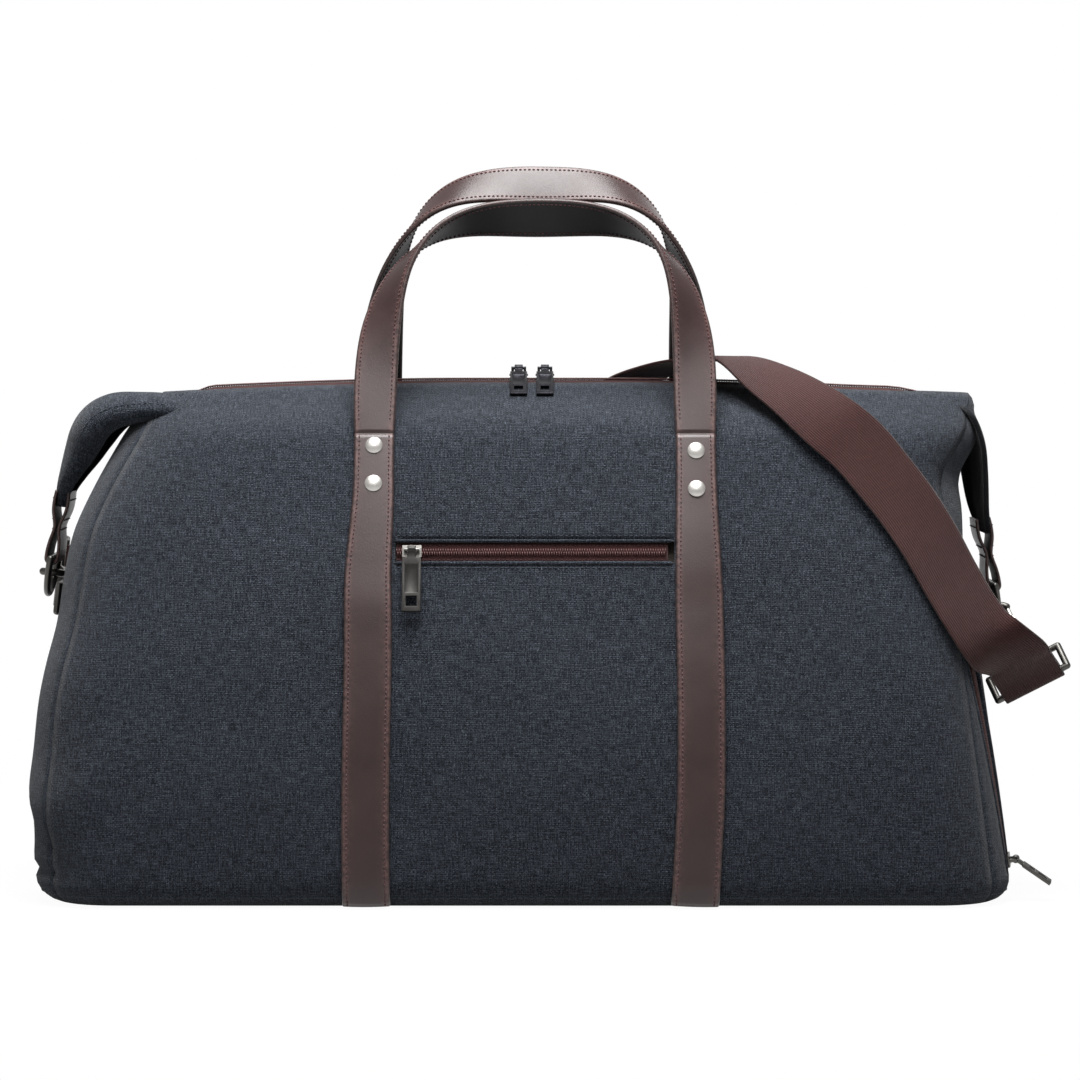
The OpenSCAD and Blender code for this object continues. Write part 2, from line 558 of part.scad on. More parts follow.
// a rigid frame from its Z direction and a wanted X direction
module in_frame(origin, z_dir, x_dir) {
    z = unit(z_dir);
    x = unit(x_dir - z * (x_dir * z));
    y = cross(z, x);
    multmatrix([[x[0], y[0], z[0], origin[0]], [x[1], y[1], z[1], origin[1]],
        [x[2], y[2], z[2], origin[2]], [0, 0, 0, 1]]) children();
}
function hang(top, lean) = top + tab_length * [-sin(lean), 0, -cos(lean)];
function ring_point(top, lean, turn) = hang(top, lean)
    + ring_radius * (cos(turn) * [-sin(lean), 0, -cos(lean)] + sin(turn) * [0, 1, 0]);
hook_point_left = ring_point(tab_top_left, tab_lean, 60);
hook_point_right = ring_point(tab_top_right, -tab_lean, -30);
hook_dir_left = unit([0, -0.99, 0.1]);
hook_dir_right = unit([-0.3, 0.62, 0.73]);
bar_dir_left = [0.1, 0, 1];
bar_dir_right = [0.8, 0, 0.6];
claw_dir_left = [-1, 0, 0.1];
claw_dir_right = [1, 0.2, 0.3];
ring_shift = 1.4;      // the ring lies towards the claw's back, clear of the gate
hook_bar_left = hook_point_left - claw_z * hook_dir_left + ring_shift * frame_x(hook_dir_left, claw_dir_left);
hook_bar_right = hook_point_right - claw_z * hook_dir_right
    + ring_shift * frame_x(hook_dir_right, claw_dir_right);
module loop_at_left() in_frame(hook_bar_left, hook_dir_left, bar_dir_left) children();
module loop_at_right() in_frame(hook_bar_right, hook_dir_right, bar_dir_right) children();
module claw_at_left() in_frame(hook_bar_left, hook_dir_left, claw_dir_left) children();
module claw_at_right() in_frame(hook_bar_right, hook_dir_right, claw_dir_right) children();
module hook_loop_left() color(steel_colour) loop_at_left() hook_loop();
module hook_claw_left() color(steel_colour) claw_at_left() hook_claw();
module hook_gate_left() color(steel_colour) claw_at_left() hook_gate();
module hook_loop_right() color(steel_colour) loop_at_right() hook_loop();
module hook_claw_right() color(steel_colour) claw_at_right() hook_claw();
module hook_gate_right() color(steel_colour) claw_at_right() hook_gate();

// ---- shoulder strap --------------------------------------------------------------------------
// The strap's middle line from the left hook round the back, over the top and down the front.
strap_points = [for (p = [
    [-281, 113, 171], [-269, 118, 167], [-249, 117, 161], [-224, 112, 154], [-190, 109, 146],
    [-150, 109, 138],
    [-112, 109, 134], [-74, 108, 137], [-30, 103, 152], [8, 95, 178], [34, 83, 212],
    [46, 70, 244], [51, 60, 268], [53, 49, 282], [60, 35, 294], [76, 21, 303], [97, 8, 309],
    [120, -8, 310], [141, -26, 298], [158, -43, 287], [174, -57, 274], [190, -63, 260],
    [204, -69, 243], [217, -75, 226], [230, -81, 206], [242, -85, 184], [253, -88, 165],
    [265, -87, 149]]) carried(p)];
strap_across = [
    [0.1, 0, 1], [0.1, 0, 1], [0.15, -0.1, 1], [0.2, -0.2, 1], [0.2, -0.25, 1],
    [0.1, -0.25, 1],
    [0, -0.27, 1], [-0.1, -0.3, 1], [-0.4, -0.4, 0.9], [-0.6, -0.35, 0.8], [-0.8, -0.2, 0.5],
    [-0.95, -0.1, 0.3], [-0.98, 0, 0.2], [-0.97, -0.2, 0], [-0.9, -0.43, 0], [-0.8, -0.6, 0],
    [-0.72, -0.69, 0], [-0.68, -0.73, 0], [-0.7, -0.6, -0.3], [-0.72, -0.45, -0.45],
    [-0.76, -0.25, -0.6], [-0.78, -0.22, -0.62], [-0.76, -0.28, -0.62], [-0.75, -0.33, -0.62],
    [-0.74, -0.4, -0.6], [-0.74, -0.45, -0.6], [-0.77, -0.45, -0.55], [-0.83, -0.3, -0.52]];
function frame_x(z_dir, x_dir) = unit(x_dir - unit(z_dir) * (x_dir * unit(z_dir)));
// Both ends of the strap go round the bar of a loop and come back on the strap, as [pull, side]
// from the bar: pull runs the way that the strap pulls, side is square to it.
end_turn = [[36, -1.2], [24, -1.2], [14, -1.5], [7, -2.4], [1.5, -3.3], [-1.4, -3.1], [-3.1, -1.8],
    [-3.6, 0], [-3.1, 1.8], [-1.4, 3.1], [1.5, 3.3], [7, 2.5], [14, 1.6], [24, 1.3]];
function end_points(bar, pull, side) = [for (e = end_turn) bar + e[0] * pull + e[1] * side];
bar_x_left = frame_x(hook_dir_left, bar_dir_left);
bar_x_right = frame_x(hook_dir_right, bar_dir_right);
function reversed(v) = [for (i = [len(v) - 1 : -1 : 0]) v[i]];
webbing_route = concat(
    reversed(end_points(hook_bar_left, -hook_dir_left, cross(bar_x_left, hook_dir_left))),
    strap_points,
    end_points(hook_bar_right, cross(bar_x_right, hook_dir_right), hook_dir_right));
webbing_across = concat([for (e = end_turn) bar_x_left], strap_across, [for (e = end_turn) -bar_x_right]);
module webbing() color(leather_colour)
    strip(webbing_route, webbing_across, webbing_width, webbing_thickness);

// a flat frame that the strap runs through
adjuster_at = 4;
adjuster_length = 22;
adjuster_wall = 2.2;
adjuster_play = 1;     // how loosely the strap runs through it
module adjuster() color(steel_colour) {
    a = strap_points[adjuster_at];
    b = strap_points[adjuster_at + 1];
    inner = webbing_width + adjuster_play;
    room = webbing_thickness + adjuster_play;
    in_frame((a + b) / 2, b - a, strap_across[adjuster_at]) difference() {
        cube([inner + 2 * adjuster_wall, room + 2 * adjuster_wall, adjuster_length], center = true);
        cube([inner, room, adjuster_length + 2], center = true);
    }
}

canvas_front();
canvas_back();
end_panel_left();
end_panel_right();
base_canvas();
base_board();
lining();
shoe_wall();
pocket_bag();
top_tape();
top_coil();
pocket_tape();
pocket_coil();
shoe_tape();
shoe_coil();
ear_left();
ear_right();
tab_left();
tab_right();
strap_front_left();
strap_front_right();
strap_back_left();
strap_back_right();
rivet_front_left();
rivet_front_right();
rivet_back_left();
rivet_back_right();
handle_front();
handle_back();
top_slider_left();
top_slider_right();
top_puller_left();
top_puller_right();
pocket_slider();
pocket_puller();
shoe_slider();
shoe_puller();
d_ring_left();
d_ring_right();
hook_loop_left();
hook_claw_left();
hook_gate_left();
hook_loop_right();
hook_claw_right();
hook_gate_right();
webbing();
adjuster();
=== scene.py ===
"""Looks of the weekender bag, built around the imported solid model.

Every piece is made from the bag's own measured form, in metres, and rides on the body that
carries it. The pieces are grouped into sub-assemblies: shell, zips, straps, ears, hardware.
"""

import logging
import math
from dataclasses import dataclass
from enum import Enum
from typing import Callable, Sequence

import bpy
import numpy as np
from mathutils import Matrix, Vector, noise


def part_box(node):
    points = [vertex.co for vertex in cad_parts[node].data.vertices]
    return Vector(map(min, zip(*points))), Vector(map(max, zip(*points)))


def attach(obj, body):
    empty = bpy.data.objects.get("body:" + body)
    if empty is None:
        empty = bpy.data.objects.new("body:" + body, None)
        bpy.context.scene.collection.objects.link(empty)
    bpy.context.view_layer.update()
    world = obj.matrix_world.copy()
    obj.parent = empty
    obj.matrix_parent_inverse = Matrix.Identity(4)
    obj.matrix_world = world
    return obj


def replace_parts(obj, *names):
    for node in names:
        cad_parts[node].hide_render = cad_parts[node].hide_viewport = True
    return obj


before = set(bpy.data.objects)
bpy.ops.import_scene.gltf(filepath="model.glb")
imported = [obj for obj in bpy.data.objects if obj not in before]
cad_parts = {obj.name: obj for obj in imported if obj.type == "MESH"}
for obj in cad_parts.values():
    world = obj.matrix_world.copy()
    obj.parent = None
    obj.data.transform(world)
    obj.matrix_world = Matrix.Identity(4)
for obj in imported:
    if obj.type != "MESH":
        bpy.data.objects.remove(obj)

LOG = logging.getLogger("weekender")
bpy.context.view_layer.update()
MM = 0.001
BLACK = (0.0, 0.0, 0.0, 1.0)
WHITE = (1.0, 1.0, 1.0, 1.0)
Array = np.ndarray
Colour = tuple[int, int, int]
Place = tuple[float, float, float]


class Part(Enum):
    """The four standing panels of the shell."""

    FRONT = "front"
    BACK = "back"
    LEFT = "left"
    RIGHT = "right"


class Kind(Enum):
    """What an effect group's socket carries."""

    COLOUR = "NodeSocketColor"
    NUMBER = "NodeSocketFloat"


# ---- node helpers ------------------------------------------------------------------------


def set_input(node: bpy.types.Node, name: str, value: object) -> None:
    """Sets one input socket of a node to a constant."""
    node.inputs[name].default_value = value


class Graph:
    """A short way to write a shader tree: add nodes, link them, do sums."""

    def __init__(self, tree: bpy.types.NodeTree) -> None:
        """Keeps the tree that the nodes go into."""
        self.tree = tree

    def node(self, kind: str, **inputs: object) -> bpy.types.Node:
        """Adds a node and fills its inputs.

        Args:
            kind: the node's class name without its ShaderNode prefix.
            **inputs: socket names, with _ for a space, and a value or a socket to link.

        Returns:
            The new node.
        """
        made = self.tree.nodes.new(kind if kind.startswith("Node") else "ShaderNode" + kind)
        for name, value in inputs.items():
            self.feed(made.inputs[name.replace("_", " ")], value)
        return made

    def feed(self, socket: bpy.types.NodeSocket, value: object) -> None:
        """Links a socket to another socket, or sets it to a constant."""
        if isinstance(value, bpy.types.NodeSocket):
            self.tree.links.new(value, socket)
        else:
            socket.default_value = value

    def math(self, op: str, a: object, b: object = 0.0) -> bpy.types.NodeSocket:
        """One sum, with each side a number or a socket. Returns its result."""
        made = self.tree.nodes.new("ShaderNodeMath")
        made.operation = op
        for socket, value in zip(made.inputs, (a, b)):
            self.feed(socket, value)
        return made.outputs[0]

    def times(self, a: object, b: object) -> bpy.types.NodeSocket:
        """The product of a and b."""
        return self.math("MULTIPLY", a, b)

    def plus(self, a: object, b: object) -> bpy.types.NodeSocket:
        """The sum of a and b."""
        return self.math("ADD", a, b)

    def minus(self, a: object, b: object) -> bpy.types.NodeSocket:
        """What is left of a without b."""
        return self.math("SUBTRACT", a, b)

    def mix(self, amount: object, a: object, b: object) -> bpy.types.NodeSocket:
        """A colour between a and b. Returns the mixed colour."""
        made = self.tree.nodes.new("ShaderNodeMix")
        made.data_type = "RGBA"
        self.feed(made.inputs["Factor"], amount)
        self.feed(made.inputs[6], a)
        self.feed(made.inputs[7], b)
        return made.outputs[2]

    def spread(self, value: object, low: float, high: float, to: tuple[float, float] = (0.0, 1.0)
               ) -> bpy.types.NodeSocket:
        """A value moved from the span low to high into the span to, and kept inside it."""
        made = self.node("MapRange", Value=value, From_Min=low, From_Max=high, To_Min=to[0], To_Max=to[1])
        return made.outputs["Result"]

    def flat(self) -> bpy.types.NodeSocket:
        """The laid-flat place on the cloth or leather, in metres."""
        made = self.tree.nodes.new("ShaderNodeUVMap")
        made.uv_map = "flat"
        return made.outputs["UV"]

    def stretched(self, vector: object, scale: Place) -> bpy.types.NodeSocket:
        """A place scaled by its own factor each way."""
        return self.node("Mapping", Vector=vector, Scale=scale).outputs["Vector"]

    def vector(self, op: str, a: object, b: object) -> bpy.types.NodeSocket:
        """One sum of a vector with a vector, or with a number that scales it. Returns its result."""
        made = self.tree.nodes.new("ShaderNodeVectorMath")
        made.operation = op
        self.feed(made.inputs[0], a)
        self.feed(made.inputs["Scale" if op == "SCALE" else 1], b)
        return made.outputs[0]

    def noise(self, vector: object, scale: float, detail: float = 2.0, rough: float = 0.5
              ) -> bpy.types.NodeSocket:
        """Soft noise at a place. Returns its value."""
        made = self.node("TexNoise", Vector=vector, Scale=scale, Detail=detail, Roughness=rough)
        return made.outputs["Fac"]


class EffectGroup:
    """A shader node group with named inputs and outputs, built once and used by many materials."""

    def __init__(self, name: str, inputs: dict[str, object], outputs: dict[str, Kind],
                 fill: Callable[[Graph, bpy.types.Node], dict[str, bpy.types.NodeSocket]]) -> None:
        """Builds the group.

        Args:
            name: the group's name.
            inputs: each input's name and first value; a colour is a tuple of four.
            outputs: each output's name and what it carries.
            fill: makes the group's nodes and returns the socket for each output.
        """
        self.tree = bpy.data.node_groups.new(name, "ShaderNodeTree")
        for key, value in inputs.items():
            kind = Kind.COLOUR if isinstance(value, tuple) else Kind.NUMBER
            made = self.tree.interface.new_socket(key, in_out="INPUT", socket_type=kind.value)
            made.default_value = value
        for key, kind in outputs.items():
            self.tree.interface.new_socket(key, in_out="OUTPUT", socket_type=kind.value)
        graph = Graph(self.tree)
        start = self.tree.nodes.new("NodeGroupInput")
        end = self.tree.nodes.new("NodeGroupOutput")
        for key, socket in fill(graph, start).items():
            self.tree.links.new(socket, end.inputs[key])

    def place(self, graph: Graph, **inputs: object) -> bpy.types.Node:
        """Puts the group into a material with its own values. Returns the group node."""
        made = graph.tree.nodes.new("ShaderNodeGroup")
        made.node_tree = self.tree
        for name, value in inputs.items():
            graph.feed(made.inputs[name.replace("_", " ")], value)
        return made


def fill_weave(g: Graph, start: bpy.types.Node) -> dict[str, bpy.types.NodeSocket]:
    """Two crossing sets of yarns with slubs and pale flecks, and painted shade between the yarns, for any
    woven cloth.
    """
    place = g.flat()
    scaled = g.vector("SCALE", place, start.outputs["Yarns per metre"])
    nudged = g.vector("ADD", scaled, g.noise(place, 260.0, 1.0))
    parts = g.node("SeparateXYZ", Vector=nudged)
    over_x = g.math("SINE", g.times(parts.outputs["X"], math.pi))
    over_y = g.math("SINE", g.times(parts.outputs["Y"], math.pi))
    crossing = g.times(over_x, over_y)
    warp = g.times(over_x, over_x)
    weft = g.times(over_y, over_y)
    pick = g.spread(crossing, -0.15, 0.15)

    def picked(a: bpy.types.NodeSocket, b: bpy.types.NodeSocket) -> bpy.types.NodeSocket:
        """The value of whichever yarn lies on top."""
        under = g.minus(1.0, pick)
        return g.plus(g.times(a, pick), g.times(b, under))

    def slub(across: float, along: float, low: float, high: float) -> bpy.types.NodeSocket:
        """Long thin streaks of yarn, wide apart or close."""
        return g.spread(g.noise(g.stretched(place, (across, along, 1.0)), 1.0, 2.0, 0.6), low, high)

    height = picked(warp, weft)
    heather = picked(slub(1500.0, 130.0, 0.42, 0.68), slub(130.0, 1500.0, 0.42, 0.68))
    fleck = g.math("MAXIMUM", slub(1100.0, 420.0, 0.62, 0.74), slub(420.0, 1100.0, 0.63, 0.75))
    broad = g.spread(g.noise(place, 9.0, 3.0, 0.55), 0.3, 0.7)
    base = g.mix(broad, start.outputs["Colour low"], start.outputs["Colour high"])
    grain = g.mix(g.times(heather, start.outputs["Heather"]), base, start.outputs["Fleck colour"])
    colour = g.mix(g.times(fleck, start.outputs["Fleck"]), grain, start.outputs["Fleck colour"])
    # Painted shade: the low places between the yarns are darkened towards black.
    hollow_shaded = g.mix(g.times(g.spread(height, 0.35, 0.0), 0.35), colour, BLACK)
    rough = g.minus(start.outputs["Roughness"], g.times(fleck, 0.08))
    return {"Colour": hollow_shaded, "Height": g.plus(height, g.times(fleck, 0.4)), "Roughness": rough}


def fill_hide(g: Graph, start: bpy.types.Node) -> dict[str, bpy.types.NodeSocket]:
    """Fine leather pores with painted shade in them, creases, and paler rims that are partly rubbed wear and
    partly painted highlight.
    """
    place = g.flat()
    pores = g.node("TexVoronoi", Vector=place, Scale=start.outputs["Pores per metre"])
    pore = g.spread(pores.outputs["Distance"], 0.0, 0.55)
    crease = g.noise(place, 340.0, 4.0, 0.62)
    cloud = g.spread(g.noise(place, 26.0, 3.0, 0.6), 0.3, 0.72)
    body = g.mix(cloud, start.outputs["Colour low"], start.outputs["Colour high"])
    # Painted shade: the pores are darkened towards black.
    pores_shaded = g.mix(g.times(g.spread(pore, 0.35, 0.0), 0.3), body, BLACK)
    rim = g.tree.nodes.new("ShaderNodeAttribute")
    rim.attribute_name = "rim"
    # Paler rims: partly rubbed wear, partly painted highlight where the edges catch the light.
    rub_and_highlight = g.times(g.times(rim.outputs["Fac"], start.outputs["Wear"]), g.spread(crease, 0.35, 0.6))
    colour = g.mix(rub_and_highlight, pores_shaded, start.outputs["Wear colour"])
    height = g.plus(g.times(pore, 0.6), g.times(crease, 0.8))
    rough = g.plus(start.outputs["Roughness"], g.times(g.minus(cloud, 0.5), 0.14))
    return {"Colour": colour, "Height": height, "Roughness": rough}


def fill_wear(g: Graph, start: bpy.types.Node) -> dict[str, bpy.types.NodeSocket]:
    """Fine scratches and dull patches on metal and hard plastic."""
    place = g.node("TexCoord").outputs["Object"]
    scratch = g.noise(g.stretched(place, (2600.0, 500.0, 900.0)), 1.0, 3.0, 0.7)
    cloud = g.noise(place, 240.0, 3.0, 0.6)
    colour = g.mix(g.spread(cloud, 0.35, 0.7), start.outputs["Colour low"], start.outputs["Colour high"])
    rough = g.plus(start.outputs["Roughness"], g.times(g.spread(scratch, 0.4, 0.7), 0.16))
    return {"Colour": colour, "Height": scratch, "Roughness": rough}


class Effects:
    """The shared effect groups, built once for all materials."""

    def __init__(self) -> None:
        """Builds the weave, hide and wear groups."""
        plain = (0.1, 0.1, 0.1, 1.0)
        three = {"Colour": Kind.COLOUR, "Height": Kind.NUMBER, "Roughness": Kind.NUMBER}
        self.weave = EffectGroup("weave", {
            "Colour low": plain, "Colour high": plain, "Fleck colour": plain, "Heather": 0.5,
            "Fleck": 0.5, "Yarns per metre": 1300.0, "Roughness": 0.9}, three, fill_weave)
        self.hide = EffectGroup("hide", {
            "Colour low": plain, "Colour high": plain, "Wear colour": plain, "Wear": 0.5,
            "Pores per metre": 1500.0, "Roughness": 0.5}, three, fill_hide)
        self.wear = EffectGroup("wear", {
            "Colour low": plain, "Colour high": plain, "Roughness": 0.3}, three, fill_wear)


EFFECTS = Effects()


def shade(value: Sequence[float]) -> tuple[float, float, float, float]:
    """A colour written as three display values from 0 to 255, as a linear RGBA tuple."""
    line = [v / 255.0 for v in value]
    return tuple([v / 12.92 if v <= 0.04045 else ((v + 0.055) / 1.055) ** 2.4 for v in line] + [1.0])


MADE: dict[str, bpy.types.Material] = {}


class Finish:
    """What every finish has in common: it builds its material once and keeps it."""

    def material(self) -> bpy.types.Material:
        """The finished material, built at its first use."""
        if self.name not in MADE:
            mat = bpy.data.materials.new(self.name)
            mat.use_nodes = True
            graph = Graph(mat.node_tree)
            shader = mat.node_tree.nodes["Principled BSDF"]
            self.fill(graph, shader)
            mat.diffuse_color = (0.3, 0.3, 0.3, 1.0)
            MADE[self.name] = mat
        return MADE[self.name]

    def fill(self, graph: Graph, shader: bpy.types.Node) -> None:
        """Links the finish's nodes to the shader."""
        raise NotImplementedError

    def dress(self, graph: Graph, shader: bpy.types.Node, effect: bpy.types.Node, colour: object,
              height: object, strength: float, depth: float) -> None:
        """Feeds colour, roughness and a bump to the shader.

        Args:
            graph: the material's tree.
            shader: the surface shader.
            effect: the effect group's node, which gives the roughness.
            colour: the colour socket.
            height: the height socket.
            strength: the bump's strength.
            depth: the bump's depth in metres.
        """
        graph.feed(shader.inputs["Base Color"], colour)
        graph.feed(shader.inputs["Roughness"], effect.outputs["Roughness"])
        made = graph.node("Bump", Height=height, Strength=strength, Distance=depth)
        graph.feed(shader.inputs["Normal"], made.outputs["Normal"])

    def worn(self, graph: Graph, shader: bpy.types.Node, strength: float, depth: float) -> None:
        """Dresses a hard finish with the shared wear group."""
        wear = EFFECTS.wear.place(graph, Colour_low=shade(self.low), Colour_high=shade(self.high),
                                  Roughness=self.roughness)
        self.dress(graph, shader, wear, wear.outputs["Colour"], wear.outputs["Height"], strength, depth)


@dataclass(frozen=True)
class WovenFinish(Finish):
    """A woven cloth: canvas, lining, webbing or zip tape."""

    name: str
    low: Colour
    high: Colour
    fleck: Colour
    heather: float = 0.5
    flecks: float = 0.5
    yarns: float = 1300.0
    roughness: float = 0.9
    sheen: float = 0.25
    depth: float = 0.0002
    ribs: float = 0.0

    def fill(self, graph: Graph, shader: bpy.types.Node) -> None:
        """Weave, heather and flecks, with ribs along the length where the cloth has them; the grooves between
        ribs are darkened as painted shade.
        """
        weave = EFFECTS.weave.place(
            graph, Colour_low=shade(self.low), Colour_high=shade(self.high),
            Fleck_colour=shade(self.fleck), Heather=self.heather, Fleck=self.flecks,
            Yarns_per_metre=self.yarns, Roughness=self.roughness)
        colour, height = weave.outputs["Colour"], weave.outputs["Height"]
        if self.ribs:
            parts = graph.node("SeparateXYZ", Vector=graph.flat())
            rib = graph.math("SINE", graph.times(parts.outputs["X"], 2 * math.pi * self.ribs))
            rib = graph.spread(rib, -1.0, 1.0)
            height = graph.plus(graph.times(height, 0.35), rib)
            # Painted shade: the grooves between the ribs are darkened towards black.
            colour = graph.mix(graph.times(graph.spread(rib, 0.45, 0.0), 0.45), colour, BLACK)
        set_input(shader, "Sheen Weight", self.sheen)
        set_input(shader, "Sheen Roughness", 0.5)
        set_input(shader, "Specular IOR Level", 0.08)
        self.dress(graph, shader, weave, colour, height, 0.7, self.depth)


@dataclass(frozen=True)
class HideFinish(Finish):
    """Smooth leather with pores and paler edges, partly rubbed wear and partly painted highlight."""

    name: str
    low: Colour
    high: Colour
    rubbed_and_lit: Colour
    wear: float = 0.5
    roughness: float = 0.45
    coat: float = 0.06
    depth: float = 0.00012

    def fill(self, graph: Graph, shader: bpy.types.Node) -> None:
        """Pores and creases, with a thin waxy coat."""
        hide = EFFECTS.hide.place(
            graph, Colour_low=shade(self.low), Colour_high=shade(self.high),
            Wear_colour=shade(self.rubbed_and_lit), Wear=self.wear, Pores_per_metre=1500.0,
            Roughness=self.roughness)
        set_input(shader, "Coat Weight", self.coat)
        set_input(shader, "Coat Roughness", 0.35)
        self.dress(graph, shader, hide, hide.outputs["Colour"], hide.outputs["Height"], 0.5, self.depth)


@dataclass(frozen=True)
class MetalFinish(Finish):
    """Plated metal with fine scratches."""

    name: str
    low: Colour
    high: Colour
    roughness: float = 0.28

    def fill(self, graph: Graph, shader: bpy.types.Node) -> None:
        """Scratches and dull patches on a full metal."""
        set_input(shader, "Metallic", 1.0)
        self.worn(graph, shader, 0.25, 0.00004)


@dataclass(frozen=True)
class HardFinish(Finish):
    """Nylon, thread or board: not metal, with a light wear pattern."""

    name: str
    low: Colour
    high: Colour
    roughness: float = 0.5
    sheen: float = 0.0

    def fill(self, graph: Graph, shader: bpy.types.Node) -> None:
        """Colour patches and a fine grain."""
        set_input(shader, "Sheen Weight", self.sheen)
        self.worn(graph, shader, 0.4, 0.00006)


CANVAS = WovenFinish("slate canvas", (22, 26, 34), (29, 34, 43), (118, 126, 139), heather=0.46,
                     flecks=0.72, yarns=900.0, roughness=0.92, sheen=0.2, depth=0.00036)
LINING = WovenFinish("lining cloth", (74, 68, 62), (88, 80, 72), (120, 112, 102), heather=0.3,
                     flecks=0.2, yarns=2200.0)
# Near-black cloth for the inner side of the wings: painted shade where the canvas lies in shadow.
WING_INSIDE_SHADE = WovenFinish("wing inside painted shade", (19, 20, 24), (27, 28, 33), (52, 54, 60), heather=0.3,
                      flecks=0.2, yarns=1700.0)
TAPE = WovenFinish("zip tape", (62, 36, 36), (76, 45, 44), (104, 68, 66), heather=0.4, flecks=0.1,
                   yarns=1900.0, roughness=0.8, sheen=0.2, depth=0.00012)
STRAP_WEB = WovenFinish("ribbed webbing", (64, 36, 35), (78, 45, 43), (104, 66, 62), heather=0.35,
                        flecks=0.12, yarns=1500.0, roughness=0.78, sheen=0.35, depth=0.00035, ribs=760.0)
# The third colour of each leather is its rim colour, partly rubbed wear and partly painted highlight.
HIDE = HideFinish("brown leather", (50, 31, 30), (60, 39, 37), (124, 92, 88), wear=0.7,
                  roughness=0.4, coat=0.1)
# Dark leather back, made darker still as painted shade for the shaded inner face of the handles.
DARK_BACK_AND_SHADE = HideFinish("dark leather back with painted shade", (10, 8, 10), (16, 12, 14), (40, 33, 34), wear=0.3,
                       roughness=0.6, coat=0.0)
HIDE_EDGE = HideFinish("painted leather edge", (40, 26, 26), (52, 35, 34), (96, 74, 70), wear=0.6,
                       roughness=0.4)
THREAD = HardFinish("wine thread", (74, 30, 34), (88, 40, 42), roughness=0.7, sheen=0.3)
NAVY_THREAD = HardFinish("navy thread", (40, 48, 60), (58, 66, 80), roughness=0.7, sheen=0.3)
COIL = HardFinish("nylon coil", (78, 42, 42), (98, 58, 56), 0.42)
BOARD = HardFinish("base board", (26, 26, 28), (36, 36, 38), 0.6)
NICKEL = MetalFinish("bright nickel", (206, 203, 198), (218, 215, 210), 0.34)
GUNMETAL = MetalFinish("gunmetal", (84, 83, 80), (92, 90, 87), 0.3)
STEEL = MetalFinish("dark steel", (56, 55, 54), (64, 63, 61), 0.36)
BRIGHT = MetalFinish("bright steel", (132, 130, 126), (142, 140, 136), 0.32)
DARK_METAL = MetalFinish("dark gunmetal", (40, 40, 44), (54, 54, 58), 0.3)


# ---- mesh helpers ------------------------------------------------------------------------


def unit(v: Array) -> Array:
    """Vectors scaled to length one, along the last axis."""
    return v / np.maximum(np.linalg.norm(v, axis=-1, keepdims=True), 1e-12)


def as_mesh(name: str, points: Array, faces: Sequence[Sequence[int]], finishes: Sequence[Finish],
            flat: Array | None = None, rim: Array | None = None, choice: Sequence[int] | None = None,
            body: str = "root") -> bpy.types.Object:
    """Makes one mesh piece, dresses it and lets it ride on a body.

    Args:
        name: the piece's name.
        points: vertex places in metres.
        faces: vertex numbers of each face.
        finishes: the piece's finishes, in slot order.
        flat: the laid-flat place of each vertex in metres, for the weave or grain.
        rim: 0 to 1 for each vertex, how near it is to a rim, where the leather is lightened partly as wear
            and partly as painted highlight.
        choice: which finish each face has.
        body: the CAD body that it rides on.

    Returns:
        The new object.
    """
    mesh = bpy.data.meshes.new(name)
    mesh.from_pydata(np.asarray(points, float).tolist(), [], [list(f) for f in faces])
    if flat is not None:
        layer = mesh.uv_layers.new(name="flat")
        index = np.zeros(len(mesh.loops), np.int32)
        mesh.loops.foreach_get("vertex_index", index)
        layer.data.foreach_set("uv", np.asarray(flat, np.float32)[index].ravel())
    if rim is not None:
        layer = mesh.attributes.new("rim", "FLOAT", "POINT")
        layer.data.foreach_set("value", np.asarray(rim, np.float32))
    for finish in finishes:
        mesh.materials.append(finish.material())
    if choice is not None:
        mesh.polygons.foreach_set("material_index", np.asarray(choice, np.int32))
    mesh.polygons.foreach_set("use_smooth", np.ones(len(mesh.polygons), bool))
    mesh.update()
    piece = bpy.data.objects.new(name, mesh)
    bpy.context.scene.collection.objects.link(piece)
    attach(piece, body)
    return piece


def smooth(value: Array) -> Array:
    """Smooth step from 0 at 0 to 1 at 1."""
    t = np.clip(value, 0, 1)
    return t * t * (3 - 2 * t)


def walked(line: Array) -> Array:
    """The distance walked along a line up to each of its points."""
    return np.concatenate([[0], np.cumsum(np.linalg.norm(np.diff(line, axis=0), axis=1))])


def along(way: Array, rows: Array, at: float) -> Array:
    """The row that lies at a distance along a line, between its neighbours."""
    return np.array([np.interp(at, way, rows[:, j]) for j in range(rows.shape[1])])


def grid_faces(rows: int, cols: int, skip: Callable[[int, int], bool] | None = None,
               wrap: bool = False) -> list[tuple[int, int, int, int]]:
    """Quads of a grid of vertices, row by row, with faces left out where skip says so."""
    last = cols if wrap else cols - 1
    return [(r * cols + c, r * cols + (c + 1) % cols, (r + 1) * cols + (c + 1) % cols, (r + 1) * cols + c)
            for r in range(rows - 1) for c in range(last) if not (skip and skip(r, c))]


def tube_faces(rows: int, cols: int) -> list[tuple[int, ...]]:
    """Faces of a closed tube: rings of vertices row by row, with a cap at each end."""
    last = (rows - 1) * cols
    return grid_faces(rows, cols, wrap=True) + [tuple(reversed(range(cols))),
                                                tuple(last + k for k in range(cols))]


def hoop(centre: Array, right: Array, up: Array, wide: float, high: float, count: int) -> Array:
    """An oval ring of count points round a centre, with its half width and half height."""
    a = np.linspace(0, 2 * math.pi, count, endpoint=False)[:, None]
    return centre + right * np.cos(a) * wide + up * np.sin(a) * high


def small_tubes(name: str, tubes: Array, finish: Finish, body: str = "root") -> bpy.types.Object:
    """Many short closed tubes as one piece, each given as its rings of points."""
    count, rows, cols = tubes.shape[:3]
    one = tube_faces(rows, cols)
    faces = [tuple(k * rows * cols + v for v in face) for k in range(count) for face in one]
    return as_mesh(name, tubes.reshape(-1, 3), faces, [finish], body=body)


